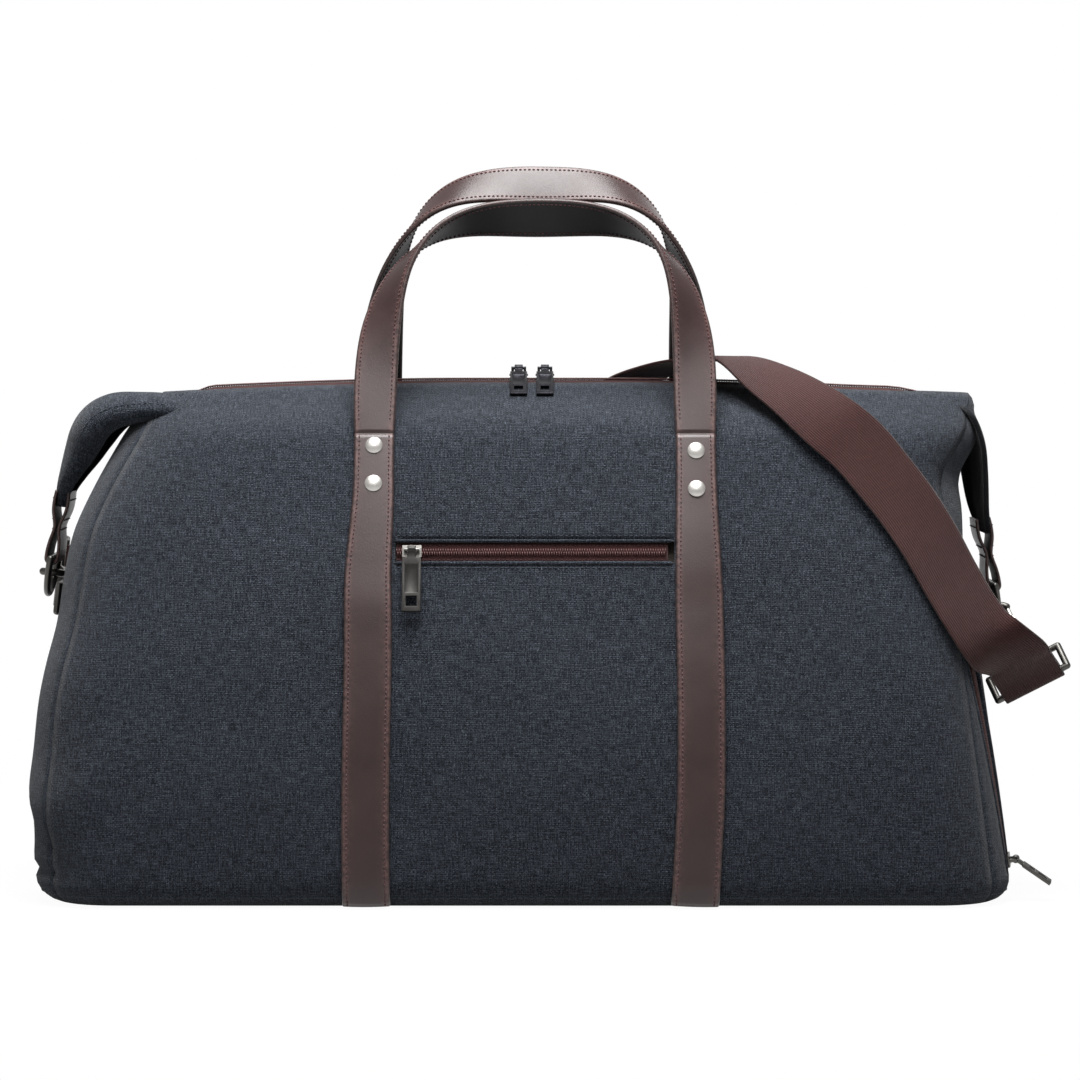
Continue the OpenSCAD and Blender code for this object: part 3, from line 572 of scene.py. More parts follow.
def curve_through(points: Array, step: float) -> Array:
    """A smooth line through points, walked at even steps.

    Args:
        points: the points that it passes, one a row.
        step: the wanted distance between the new points.

    Returns:
        The new points, with the first and last kept.
    """
    p = np.asarray(points, float)
    ends = np.vstack([2 * p[0] - p[1], p, 2 * p[-1] - p[-2]])
    line = []
    for i in range(len(p) - 1):
        a, b, c, d = ends[i:i + 4]
        for t in np.linspace(0, 1, 17)[:-1]:
            line.append(0.5 * ((2 * b) + (c - a) * t + (2 * a - 5 * b + 4 * c - d) * t ** 2
                               + (3 * b - a - 3 * c + d) * t ** 3))
    line = np.array(line + [p[-1]])
    way = walked(line[:, :3])
    count = max(int(round(way[-1] / step)), 2)
    even = np.linspace(0, way[-1], count + 1)
    return np.stack([np.interp(even, way, line[:, k]) for k in range(line.shape[1])], axis=1)


def ripple(points: Array, scale: float, seed: float) -> Array:
    """Smooth seeded noise from -1 to 1 at each point, with features about scale metres wide."""
    shift = Vector((seed * 17.3, seed * 5.1, seed * 9.7))
    return np.array([noise.noise(Vector(p) / scale + shift) for p in np.asarray(points)])


def band(width: float, thick: float, crown: float = 0.0, steps: int = 8) -> Array:
    """The section of a flat strap with rounded edges and a slightly crowned outer face.

    Args:
        width: full width.
        thick: full thickness.
        crown: how much fuller the outer face is in the middle.
        steps: points across each face.

    Returns:
        Rows of (across, out, rim, side), the outer face first; side is 0 outer, 1 edge, 2 inner.
    """
    h, r = thick / 2, thick * 0.45

    def edge(sign: int) -> list[tuple[float, float, float, int]]:
        """The rounded edge on one side, from the face behind it to the face ahead."""
        return [(sign * (width / 2 - r + r * math.cos(math.radians(a))),
                 (h - r) * np.sign(a) + r * math.sin(math.radians(a)), 1.0, 1)
                for a in (65 * sign, 25 * sign, -25 * sign, -65 * sign)]

    flat = width / 2 - r
    outer = [(x * flat, h + crown * (1 - x * x), abs(x) ** 6, 0) for x in np.linspace(-1, 1, steps)]
    inner = [(x * flat, -h, abs(x) ** 6, 2) for x in np.linspace(1, -1, steps)]
    return np.array(outer + edge(1) + inner + edge(-1))


def sweep(name: str, line: Array, across: Array, width: Array, thick: Array, finishes: Sequence[Finish],
          crown: float = 0.0, body: str = "root", out_wrinkle: Array | None = None,
          steps: int = 8) -> tuple[bpy.types.Object, Array, Array]:
    """Sweeps a strap section along a line.

    Args:
        name: the piece's name.
        line: centre points.
        across: width direction at each point; out is line direction x across.
        width: width at each point.
        thick: thickness at each point.
        finishes: outer, edge and inner finish.
        crown: fullness of the outer face.
        body: the body it rides on.
        out_wrinkle: an extra push outward at each point.
        steps: points across each face.

    Returns:
        The piece, the width directions and the outward directions.
    """
    tangent = unit(np.gradient(line, axis=0))
    out = unit(np.cross(tangent, across))
    side = np.cross(out, tangent)
    if out_wrinkle is not None:
        line = line + out * out_wrinkle[:, None]
    way = walked(line)
    sides = band(1.0, 1.0, 0.0, steps)[:, 3].astype(int)
    n = len(sides)
    points, flat, rim = [], [], []
    for i, centre in enumerate(line):
        section = band(width[i], thick[i], crown, steps)
        points.append(centre + section[:, :1] * side[i] + section[:, 1:2] * out[i])
        rim.append(section[:, 2])
        round_way = np.where(section[:, 3] == 2, width[i] * 1.15 - section[:, 0], section[:, 0])
        flat.append(np.stack([round_way, np.full(n, way[i])], axis=1))
    slots = [a if a == b else 1 for a, b in zip(sides, np.roll(sides, -1))]
    choice = slots * (len(line) - 1) + [1, 1]
    piece = as_mesh(name, np.concatenate(points), [f[::-1] for f in tube_faces(len(line), n)], finishes,
                    np.concatenate(flat), np.concatenate(rim), choice, body)
    return piece, side, out


@dataclass(frozen=True)
class Stitch:
    """The measures of one kind of stitch: distance between stitches, length and half thickness."""

    pitch: float
    length: float
    radius: float


HEAVY = Stitch(0.0026, 0.0017, 0.00042)
HEM = Stitch(0.0034, 0.0024, 0.0003)
FINE = Stitch(0.0031, 0.0022, 0.00026)
TAPE_ROW = Stitch(0.0026, 0.0018, 0.0002)
PROUD = 0.0001
"""How far a thread lies off the surface it is sewn into."""


def stitches(name: str, line: Array, out: Array, finish: Finish, stitch: Stitch = HEAVY,
             body: str = "root") -> None:
    """A row of thread stitches, each a small rounded bead that dips into the cloth at its ends.

    Args:
        name: the row's name.
        line: points that the row follows, on the surface.
        out: outward direction at each point.
        finish: the thread.
        stitch: the measures of the stitches.
        body: the body it rides on.
    """
    way, radius = walked(line), stitch.radius
    tubes = []
    for k in range(max(int(way[-1] / stitch.pitch), 1)):
        middle = (k + 0.5) * stitch.pitch
        beads = [(u, radius * fat, along(way, line, middle + u * stitch.length))
                 for u, fat in ((-0.5, 0.15), (-0.34, 0.85), (0.0, 1.0), (0.34, 0.85), (0.5, 0.15))]
        up = unit(along(way, out, middle))
        side = unit(np.cross(unit(beads[-1][2] - beads[0][2]), up))
        tubes.append([hoop(at + up * radius * (0.55 - 0.9 * abs(u)), side, up, fat, fat, 6)
                      for u, fat, at in beads])
    small_tubes(name, np.array(tubes), finish, body)


# ---- the bag's form ----------------------------------------------------------------------


@dataclass
class BagForm:
    """The outer surface of the bag: a loft of rounded outlines that lean in towards the top."""

    left_reach: float = 0.286
    right_reach: float = 0.278
    base_half_depth: float = 0.124
    top_half_depth: float = 0.052
    shoulder: float = 0.272
    top_rise: float = 0.024
    corner: float = 0.045
    base_roll: float = 0.014
    end_roll: float = 0.018
    end_dip: float = 0.008
    zip_half: float = 0.010
    straps: tuple[float, float] = (-0.0898, 0.0962)
    pocket: tuple[float, float, float] = (-0.0768, 0.0832, 0.200)
    pocket_slot: float = 0.0125
    shoe: tuple[float, float] = (0.016, 0.156)
    shoe_turn: tuple[float, float] = (9.0, 36.0)
    shoe_slot: float = 0.011

    def left(self, z: Array) -> Array:
        """Reach of the left end at a height."""
        return self.left_reach - 1.15 * (z - 0.055) ** 2

    def right(self, z: Array) -> Array:
        """Reach of the right end at a height."""
        return self.right_reach - 0.125 * np.minimum(z, 0.240)

    def depth(self, z: Array) -> Array:
        """Half depth at a height."""
        return self.base_half_depth - (self.base_half_depth - self.top_half_depth) * (
            np.maximum(z, 0) / self.shoulder) ** 1.8

    def depth_slope(self, z: Array) -> Array:
        """How fast the half depth changes with height."""
        return (self.depth(z + 0.001) - self.depth(z - 0.001)) / 0.002

    def level(self, s: float) -> tuple[float, float, float, float, float]:
        """The outline's measures at a level.

        Args:
            s: 0 to 1 round the lower edge, 1 to 2 up the body, 2 to 3 over the shoulder.

        Returns:
            Surface height, form height, inset in length, inset in depth, and how full the end dip is.
        """
        if s <= 1:
            a = math.pi / 2 * (1 - s)
            inset = self.base_roll * (1 - math.cos(a))
            form = self.base_roll * (1 - math.sin(a))
            return form, form, inset, inset, 1.0
        if s <= 2:
            z = self.base_roll + (self.shoulder - self.base_roll) * (s - 1)
            return z, z, 0.0, 0.0, 1.0
        a = math.pi / 2 * (s - 2)
        d = self.top_half_depth - self.zip_half
        return (self.shoulder + self.top_rise * (1 - math.cos(a)) ** 0.9, self.shoulder,
                self.end_roll * (1 - math.cos(a)), d * (1 - math.cos(a)), math.cos(a))

    def shoe_angle(self, z: Array) -> Array:
        """Where round the corner the shoe zip runs at a height, in degrees."""
        low, high = self.shoe
        return self.shoe_turn[0] + (self.shoe_turn[1] - self.shoe_turn[0]) * (z - low) / (high - low)

    def front_columns(self, xl: float, xr: float) -> Array:
        """Places along the straight of a long side; the middle ones stay at fixed places."""
        a, b = self.pocket[0], self.pocket[1]
        return np.concatenate([np.linspace(xl, -0.118, 24)[:-1], np.linspace(-0.118, a, 11)[:-1],
                               np.linspace(a, b, 41)[:-1], np.linspace(b, 0.122, 11)[:-1],
                               np.linspace(0.122, xr, 22)])

    def run(self, part: Part, s: float) -> Array:
        """Points of one panel's edge at a level, from seam to seam.

        Args:
            part: the panel.
            s: the level, as for level().

        Returns:
            One point a row.
        """
        height, form, in_x, in_y, full = self.level(s)
        xl, xr = -self.left(form) + in_x, self.right(form) - in_x
        b = self.depth(form) - in_y
        r = max(self.corner - max(in_x, in_y), 0.003)
        dip = self.end_dip * form / self.shoulder * full

        def arc(cx: float, cy: float, angles: Array) -> Array:
            """Part of a corner."""
            t = np.radians(angles)
            return np.stack([cx + r * np.cos(t), cy + r * np.sin(t), np.full(len(t), height)], axis=1)

        if part in (Part.FRONT, Part.BACK):
            xs = self.front_columns(xl + r, xr - r)
            mid = np.stack([xs, np.full(len(xs), -b), np.full(len(xs), height)], axis=1)
            rows = np.vstack([arc(xl + r, -b + r, np.linspace(225, 270, 8))[:-1], mid,
                              arc(xr - r, -b + r, np.linspace(270, 315, 8))[1:]])
            return rows if part is Part.FRONT else (rows * [1, -1, 1])[::-1]
        t = np.linspace(0, 1, 25)
        sign = 1 if part is Part.LEFT else -1
        end = xl if part is Part.LEFT else xr
        mid = np.stack([end + sign * dip * np.sin(math.pi * t), sign * (b - r + (2 * r - 2 * b) * t),
                        np.full(25, height)], axis=1)
        if part is Part.LEFT:
            return np.vstack([arc(xl + r, b - r, np.linspace(135, 180, 8))[:-1], mid,
                              arc(xl + r, -b + r, np.linspace(180, 225, 8))[1:]])
        zip_at = self.shoe_angle(min(max(form, self.shoe[0]), self.shoe[1]))
        half = math.degrees(self.shoe_slot / 2 / self.corner)
        angles = np.concatenate([np.linspace(-45, -zip_at - half, 4)[:-1],
                                 np.linspace(-zip_at - half, -zip_at + half, 5)[:-1],
                                 np.linspace(-zip_at + half, 0, 6)])
        return np.vstack([arc(xr - r, -b + r, angles)[:-1], mid,
                          arc(xr - r, b - r, np.linspace(0, 45, 8))[1:]])

    def levels(self, part: Part) -> Array:
        """Levels of a panel's rows, with rows right on the edges of its slots."""
        body = [self.base_roll]
        marks = {Part.FRONT: [self.pocket[2] - self.pocket_slot / 2, self.pocket[2] + self.pocket_slot / 2],
                 Part.RIGHT: list(self.shoe)}.get(part, [])
        for stop in marks + [self.shoulder]:
            count = max(int((stop - body[-1]) / 0.0045), 2)
            body += list(np.linspace(body[-1], stop, count + 1)[1:])
        rise = (np.array(body) - self.base_roll) / (self.shoulder - self.base_roll) + 1
        return np.concatenate([np.linspace(0, 1, 7)[:-1], rise, np.linspace(2, 3, 13)[1:]])

    def calm(self, p: Array) -> Array:
        """1 where the cloth hangs free, 0 where hardware, slots or seams hold it to its form."""
        x, y, z = p[:, 0], p[:, 1], p[:, 2]
        free = 1 - smooth((z - 0.225) / 0.037) * (0.75 + 0.25 * smooth((np.abs(y) - 0.02) / 0.03))
        free *= smooth((z - 0.002) / 0.02)
        gap_x = np.maximum(np.maximum(self.pocket[0] - x, x - self.pocket[1]), 0)
        gap = np.hypot(gap_x, np.maximum(np.abs(z - self.pocket[2]) - 0.006, 0))
        free *= np.where(y < 0, smooth((gap - 0.002) / 0.028), 1.0)
        slot_gap = np.hypot(np.maximum(0.232 - x, 0), np.maximum(np.abs(z - 0.087) - 0.075, 0))
        free *= np.where((y < -0.02) & (x > 0.1), smooth(slot_gap / 0.045), 1.0)
        return free

    def droop(self, p: Array) -> Array:
        """Points let down and drawn out towards the two ends of the top, where the wings pull."""
        x, z = p[..., 0], p[..., 2]
        right = x > 0
        end = np.clip((np.abs(x - 0.006) - 0.05) / np.where(right, 0.21, 0.175), 0, 1.1)
        high = smooth((z - 0.20) / 0.09)
        away = smooth((np.abs(x) - 0.185) / 0.045)
        pull = np.where(right, 0.0035 * smooth((z - 0.19) / 0.04) + 0.0045 * smooth((z - 0.235) / 0.03)
                        + 0.016 * smooth((z - 0.246) / 0.042) + 0.005 * smooth((z - 0.284) / 0.009),
                        0.0075 * smooth((z - 0.15) / 0.07) * (1 - 0.5 * smooth((z - 0.275) / 0.02)))
        moved = p.copy()
        moved[..., 0] = x + np.sign(x) * pull * away
        moved[..., 2] = z - np.where(right, 0.0085, 0.0058) * end ** 1.7 * high
        return moved

    def sag(self, p: Array, out: Array) -> Array:
        """How far the loaded cloth stands off its form at each point, in metres."""
        x, y, z = p[:, 0], p[:, 1], p[:, 2]
        near = np.minimum(np.abs(x - self.straps[0]), np.abs(x - self.straps[1]))
        held = np.clip((np.abs(out[:, 1]) - 0.35) / 0.4, 0, 1) * np.exp(-(near / 0.028) ** 2)
        low = np.exp(-((z - 0.075) / 0.06) ** 2)
        # fuller low down between the straps, and broad unevenness with finer folds over it
        swell = 0.0016 * low * (1 - held) - 0.0010 * held * low
        broad = 0.0016 * ripple(p, 0.11, 1.0) + 0.0009 * ripple(p, 0.05, 2.0)
        fold = 0.00055 * ripple(p * [1, 1, 0.55], 0.022, 3.0) * (0.4 + 0.6 * np.exp(-(z / 0.06) ** 2))
        # slanting pulls in the cloth of the ends
        end = np.clip((np.abs(x) - 0.20) / 0.06, 0, 1)
        drag = 0.0011 * end * np.sin((z * 0.82 + np.abs(x) * 0.57 + 0.6 * np.abs(y)) * 2 * math.pi / 0.043
                                     + 2.2 * ripple(p, 0.09, 4.0)) * np.exp(-((z - 0.05) / 0.07) ** 2)
        # a pinched tuck and a crease at the foot of the left end
        tuck = -0.0030 * np.exp(-(((x + 0.281) / 0.028) ** 2
                                  + ((z - 0.0185 - 0.05 * (x + 0.281)) / 0.0032) ** 2))
        crease = -0.0020 * np.exp(-((x + 0.282 - (0.046 - z) * 0.83) ** 2 / 0.00003)
                                  - ((z - 0.034) / 0.016) ** 2) * (y < 0)
        total = self.calm(p) * np.clip(swell + broad + fold + drag, -0.0023, 0.006)
        return total + np.clip(tuck + crease, -0.0032, 0) * (x < -0.2)

    def front_place(self, x: Array, z: Array, lift: float | Array, back: bool = False) -> tuple[Array, Array]:
        """Points on the sagged front or back, lifted off it, with the outward directions.

        Args:
            x: place along the bag.
            z: height.
            lift: how far off the cloth.
            back: whether it is the back side.

        Returns:
            The points and the outward directions.
        """
        x, z = np.broadcast_arrays(np.asarray(x, float), np.asarray(z, float))
        low = z < self.base_roll
        a = np.where(low, np.arcsin(np.clip(1 - z / self.base_roll, 0, 1)), 0.0)
        y = -self.depth(z) + np.where(low, self.base_roll * (1 - np.cos(a)), 0.0)
        sign = -1.0 if back else 1.0
        p = np.stack([x, y * sign, z], axis=1)
        out = unit(np.where(low[:, None], np.stack([0 * x, -np.cos(a), -np.sin(a)], axis=1),
                            np.stack([0 * x, -1 + 0 * x, -self.depth_slope(z)], axis=1))) * [1, sign, 1]
        return p + out * (self.sag(p, out) + lift)[:, None], out

    def shoe_place(self, z: Array, lift: float) -> tuple[Array, Array]:
        """Points down the middle of the shoe zip and their outward directions."""
        a = np.radians(self.shoe_angle(z))
        rise = 0.125 * np.cos(a) - self.depth_slope(z) * np.sin(a)
        out = unit(np.stack([np.cos(a), -np.sin(a), rise], axis=1))
        p = np.stack([self.right(z) - self.corner * (1 - np.cos(a)),
                      -self.depth(z) + self.corner * (1 - np.sin(a)), z], axis=1)
        return p + out * lift, out


FORM = BagForm()


# ---- shell -------------------------------------------------------------------------------


@dataclass
class Shell:
    """The sewn canvas shell: front, back, two ends, base, the stitching round it and the lining."""

    thick: float = 0.0018

    def softened(self, rows: Array, levels: Array) -> Array:
        """Rounds the fold at the shoulder and lets the ends of the top droop.

        Args:
            rows: the panel's points, one row a level.
            levels: the level of each row.

        Returns:
            The softened points.
        """
        way = walked(rows[:, rows.shape[1] // 2])
        step = np.gradient(way)
        soft = rows.copy()
        for i, s in enumerate(levels):
            if s <= 1.85 or i >= len(levels) - 2:
                continue
            reach = 0.0085 * min((s - 1.85) / 0.1, 1.0)
            weight = np.exp(-((way - way[i]) / reach) ** 2 / 2) * step
            weight /= weight.sum()
            room = min(1.0, (way[-1] - way[i]) / 0.012)
            soft[i] = rows[i] * (1 - room) + room * np.tensordot(weight, rows, axes=1)
        return FORM.droop(soft)

    def cloth(self, piece: bpy.types.Object, node: str) -> bpy.types.Object:
        """Gives a canvas sheet its thickness and stands it in for its node. Returns the sheet."""
        wall = piece.modifiers.new("cloth", "SOLIDIFY")
        wall.thickness, wall.offset = self.thick, -1.0
        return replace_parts(piece, node)

    def panel(self, part: Part, node: str) -> bpy.types.Object:
        """Builds one sagging panel with its slot.

        Args:
            part: which panel.
            node: the CAD node that it stands for.

        Returns:
            The panel.
        """
        levels = FORM.levels(part)
        rows = self.softened(np.stack([FORM.run(part, s) for s in levels]), levels)
        nr, nc = rows.shape[:2]
        out = unit(np.cross(np.gradient(rows, axis=1), np.gradient(rows, axis=0)))
        p, n = rows.reshape(-1, 3), out.reshape(-1, 3)
        moved = p + n * FORM.sag(p, n)[:, None]
        across = np.stack([walked(row) for row in rows])
        across -= across[:, nc // 2:nc // 2 + 1]
        up = np.stack([walked(rows[:, c]) for c in range(nc)], axis=1)

        def in_slot(r: int, c: int) -> bool:
            """Whether a face lies in the panel's slot."""
            middle = rows[r:r + 2, c:c + 2].reshape(-1, 3).mean(0)
            if part is Part.FRONT:
                return (FORM.pocket[0] < middle[0] < FORM.pocket[1]
                        and abs(middle[2] - FORM.pocket[2]) < FORM.pocket_slot / 2)
            return part is Part.RIGHT and 3 <= c < 7 and FORM.shoe[0] < middle[2] < FORM.shoe[1]

        return self.cloth(as_mesh(f"panel_{part.value}", moved, grid_faces(nr, nc, in_slot), [CANVAS],
                                  np.stack([across.ravel(), up.ravel()], axis=1)), node)

    def base(self) -> bpy.types.Object:
        """The base panel, flat at its rim and a little uneven inside it."""
        ring = np.vstack([FORM.run(part, 0.0)[:-1]
                          for part in (Part.FRONT, Part.RIGHT, Part.BACK, Part.LEFT)])
        n = len(ring)
        spine = np.clip(ring, -0.17, 0.17) * [1, 0, 0]
        shares = [0.0, 0.02, 0.05, 0.09, 0.14, 0.2, 0.28, 0.37, 0.47, 0.57, 0.67, 0.77, 0.87, 0.95]
        rows = np.stack([ring * (1 - t) + spine * t for t in shares])
        rows[:, :, 2] = 0.0008 + 0.0006 * ripple(rows.reshape(-1, 3), 0.05, 8.0).reshape(len(shares), n)
        rows[1, :, 2] = rows[2, :, 2] = 0.0004
        rows[0, :, 2] = 0.0006
        points = rows.reshape(-1, 3)
        faces = [f[::-1] for f in grid_faces(len(shares), n, wrap=True)]
        last = (len(shares) - 1) * n
        faces.append(tuple(last + k for k in reversed(range(n))))
        return self.cloth(as_mesh("panel_base", points, faces, [CANVAS], points[:, :2]), "base_canvas")

    def seams(self) -> None:
        """Stitching round the base, just above the floor."""
        for part in Part:
            ring = FORM.run(part, 0.62)
            ahead = np.gradient(ring, axis=0)
            normal = unit(np.stack([ahead[:, 1], -ahead[:, 0], 0 * ahead[:, 0]], axis=1))
            normal[:, 2] = -0.55
            normal = unit(normal)
            ring = ring + normal * (FORM.sag(ring, normal) + PROUD)[:, None]
            stitches(f"base_stitch_{part.value}", ring, normal, NAVY_THREAD, HEM)

    def build(self) -> None:
        """Builds the panels, base and seams and dresses what lies inside them."""
        for part in Part:
            self.panel(part, f"{'canvas' if part in (Part.FRONT, Part.BACK) else 'end_panel'}_{part.value}")
        self.base()
        self.seams()
        draped("lining", LINING)
        for node in ("shoe_wall", "pocket_bag"):
            coat(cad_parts[node].data, LINING)
        coat(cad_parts["base_board"].data, BOARD)


def coat(mesh: bpy.types.Mesh, finish: Finish) -> None:
    """Gives a whole mesh one finish."""
    mesh.materials.clear()
    mesh.materials.append(finish.material())
    mesh.polygons.foreach_set("material_index", np.zeros(len(mesh.polygons), np.int32))


def copied(node: str, finish: Finish, body: str) -> bpy.types.Object:
    """Stands a copy in for a CAD node, to be shaped further.

    Args:
        node: the CAD node.
        finish: its finish.
        body: the body it rides on.

    Returns:
        The new piece.
    """
    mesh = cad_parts[node].data.copy()
    mesh.name = f"soft_{node}"
    piece = bpy.data.objects.new(f"soft_{node}", mesh)
    bpy.context.scene.collection.objects.link(piece)
    coat(mesh, finish)
    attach(piece, body)
    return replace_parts(piece, node)


def draped(node: str, finish: Finish) -> None:
    """Stands a cloth copy that hangs like the shell in for a CAD node."""
    mesh = copied(node, finish, "root").data
    places = np.zeros(len(mesh.vertices) * 3)
    mesh.vertices.foreach_get("co", places)
    places = FORM.droop(places.reshape(-1, 3))
    mesh.vertices.foreach_set("co", places.ravel())
    corners = np.zeros(len(mesh.loops), np.int32)
    mesh.loops.foreach_get("vertex_index", corners)
    layer = mesh.uv_layers.get("flat") or mesh.uv_layers.new(name="flat")
    layer.data.foreach_set("uv", places[corners][:, [0, 2]].ravel())
    mesh.update()


def rounded(node: str, finish: Finish, width: float, body: str) -> None:
    """Stands a copy with rounded edges in for a hard CAD node.

    Args:
        node: the CAD node.
        finish: its finish.
        width: how wide the rounding is.
        body: the body it rides on.
    """
    piece = copied(node, finish, body)
    piece.modifiers.new("weld", "WELD").merge_threshold = 0.00001
    edge = piece.modifiers.new("rounding", "BEVEL")
    edge.width, edge.segments, edge.limit_method, edge.angle_limit = width, 2, "ANGLE", math.radians(34)
    edge.use_clamp_overlap = True
    piece.data.polygons.foreach_set("use_smooth", np.ones(len(piece.data.polygons), bool))
    piece.data.update()


# ---- zips --------------------------------------------------------------------------------


@dataclass
class Zip:
    """One zip: two tapes, two rows of coil loops and the seams that hold it."""

    name: str
    tape_node: str
    coil_node: str
    line: Array
    out: Array
    width: float
    tape_drop: float = 0.0
    tape_thick: float = 0.0008
    coil_lift: float = 0.0003
    pitch: float = 0.0014
    loop: float = 0.0024

    def side(self) -> Array:
        """The direction across the zip at each point."""
        return unit(np.cross(unit(np.gradient(self.line, axis=0)), self.out))

    def tapes(self) -> bpy.types.Object:
        """Two woven tapes that fall away from the coil to the cloth on each side."""
        side, half = self.side(), self.width / 2
        upper = [(u, low, 0.0) for u, low in ((-1, 1), (-0.8, 0.8), (-0.45, 0.35), (-0.1, 0.0),
                                              (0.1, 0.0), (0.45, 0.35), (0.8, 0.8), (1, 1))]
        lower = [(u, low, self.tape_thick) for u, low in ((1, 1), (0.45, 0.35), (-0.45, 0.35), (-1, 1))]
        section = upper + lower
        points = np.stack([self.line + side * u * half - self.out * (low * self.tape_drop + deep)
                           for u, low, deep in section], axis=1).reshape(-1, 3)
        way, n = walked(self.line), len(section)
        flat = np.stack([np.tile([u * half for u, _, _ in section], len(way)), np.repeat(way, n)], axis=1)
        piece = as_mesh(f"{self.name}_tape", points, [f[::-1] for f in tube_faces(len(way), n)], [TAPE], flat)
        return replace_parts(piece, self.tape_node)

    def coils(self) -> bpy.types.Object:
        """Two rows of nylon loops that hook into each other."""
        side = self.side()
        way = walked(self.line)
        tubes = []
        for k in range(2 * int(way[-1] / self.pitch)):
            row = 1 if k % 2 else -1
            middle = (k // 2 + 0.5 + (0.25 if row > 0 else -0.25)) * self.pitch
            if middle > way[-1] - self.pitch:
                continue
            at = along(way, self.line, middle)
            up, sd = unit(along(way, self.out, middle)), unit(along(way, side, middle))
            tubes.append([hoop(at + sd * row * (reach * self.loop - 0.0003)
                               + up * (self.coil_lift + high * 0.0007),
                               np.cross(up, sd), up, 0.00042, 0.00034, 5)
                          for reach, high in ((0.0, 0.5), (0.12, 1.0), (0.5, 1.25), (0.85, 1.0),
                                              (1.0, 0.45), (0.9, 0.0))])
        piece = small_tubes(f"{self.name}_coil", np.array(tubes), COIL)
        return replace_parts(piece, self.coil_node)

    def build(self) -> None:
        """Builds the tapes, the coil and two rows of stitching along the tapes."""
        self.tapes()
        self.coils()
        side = self.side()
        for row in (-1, 1):
            line = self.line + side * row * self.width * 0.36 - self.out * self.tape_drop * 0.62
            stitches(f"{self.name}_stitch_{'ab'[row > 0]}", line + self.out * PROUD, self.out, THREAD,
                     TAPE_ROW)
        LOG.info("%s zip built, %.0f mm long", self.name, walked(self.line)[-1] / MM)


@dataclass
class Zips:
    """The three zips of the bag and the folded cloth lips beside them."""

    play: float = 0.0006
    rounding: float = 0.00035

    def lip(self, name: str, line: Array, out: Array, radius: float) -> None:
        """A rolled canvas edge beside a slot.

        Args:
            name: the piece's name.
            line: its centre line.
            out: outward direction at each point.
            radius: half thickness.
        """
        side = unit(np.cross(unit(np.gradient(line, axis=0)), out))
        way = walked(line)
        angles = np.linspace(0, 2 * math.pi, 10, endpoint=False)
        ends = np.minimum(np.minimum(way, way[-1] - way) / radius, 1.0)
        fat = np.sqrt(1 - (1 - ends) ** 2) * 0.97 + 0.03
        points = np.stack([line + (out * math.sin(a) * 0.8 + side * math.cos(a)) * radius * fat[:, None]
                           for a in angles], axis=1).reshape(-1, 3)
        flat = np.stack([np.tile(angles * radius, len(way)), np.repeat(way, 10)], axis=1)
        as_mesh(name, points, tube_faces(len(line), 10), [CANVAS], flat)

    def pocket(self) -> None:
        """The welt pocket zip on the front panel."""
        a, b, z = FORM.pocket
        xs = np.arange(a + 0.0004, b - 0.0002, 0.004)
        line, out = FORM.front_place(xs, z, -0.0012)
        Zip("pocket", "pocket_tape", "pocket_coil", line, out, FORM.pocket_slot - self.play).build()
        for name, shift, radius in (("upper", 0.5, 0.0010), ("lower", -0.5, 0.0013)):
            edge, normal = FORM.front_place(np.arange(a - 0.0015, b + 0.0020, 0.003),
                                            z + shift * FORM.pocket_slot, -0.0001)
            self.lip(f"pocket_lip_{name}", edge, normal, radius)
            row, normal = FORM.front_place(xs, z + shift * (FORM.pocket_slot + 0.0055), PROUD)
            stitches(f"pocket_seam_{name}", row, normal, NAVY_THREAD, FINE)

    def top(self) -> None:
        """The main zip along the ridge between the two top panels."""
        lo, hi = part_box("top_tape")
        xs = np.linspace(lo.x, hi.x, 110)
        line = FORM.droop(np.stack([xs, 0 * xs, np.full(len(xs), hi.z)], axis=1))
        near_end = np.minimum(xs - lo.x, hi.x - xs) / 0.024
        line[:, 2] -= 0.0075 * (1 - smooth(near_end)) + 0.0006
        out = np.tile([0.0, 0.0, 1.0], (len(xs), 1))
        Zip("top", "top_tape", "top_coil", line, out, 2 * FORM.zip_half - self.play, 0.0028).build()
        for name, side in (("front", -1), ("back", 1)):
            edge = line + np.array([0, side * (FORM.zip_half + 0.0004), -0.0036])
            self.lip(f"top_lip_{name}", edge, out, 0.0013)
            row = line + np.array([0, side * (FORM.zip_half + 0.0032), -0.0037])
            stitches(f"top_seam_{name}", row, out, NAVY_THREAD, FINE)

    def shoe(self) -> None:
        """The shoe compartment zip, which runs down the right end beside the corner."""
        zs = np.linspace(FORM.shoe[0] + 0.0004, FORM.shoe[1] - 0.0004, 60)
        line, out = FORM.shoe_place(zs, -0.0014)
        Zip("shoe", "shoe_tape", "shoe_coil", line, out, FORM.shoe_slot - self.play).build()
        side = unit(np.cross(unit(np.gradient(line, axis=0)), out))
        for name, shift in (("front", -1), ("end", 1)):
            edge = line + side * (shift * (FORM.shoe_slot / 2 + 0.0004) + 0.0004) + out * 0.0011
            self.lip(f"shoe_lip_{name}", edge, out, 0.0010)

    def build(self) -> None:
        """Builds all three zips and dresses their sliders and pullers."""
        self.pocket()
        self.top()
        self.shoe()
        for node, finish in (("top_slider_left", DARK_METAL), ("top_slider_right", DARK_METAL),
                             ("top_puller_left", DARK_METAL), ("top_puller_right", DARK_METAL),
                             ("pocket_slider", BRIGHT), ("pocket_puller", STEEL),
                             ("shoe_slider", GUNMETAL), ("shoe_puller", GUNMETAL)):
            rounded(node, finish, self.rounding, node)


# ---- leather -----------------------------------------------------------------------------

LEATHER = [HIDE, HIDE_EDGE, DARK_BACK_AND_SHADE]


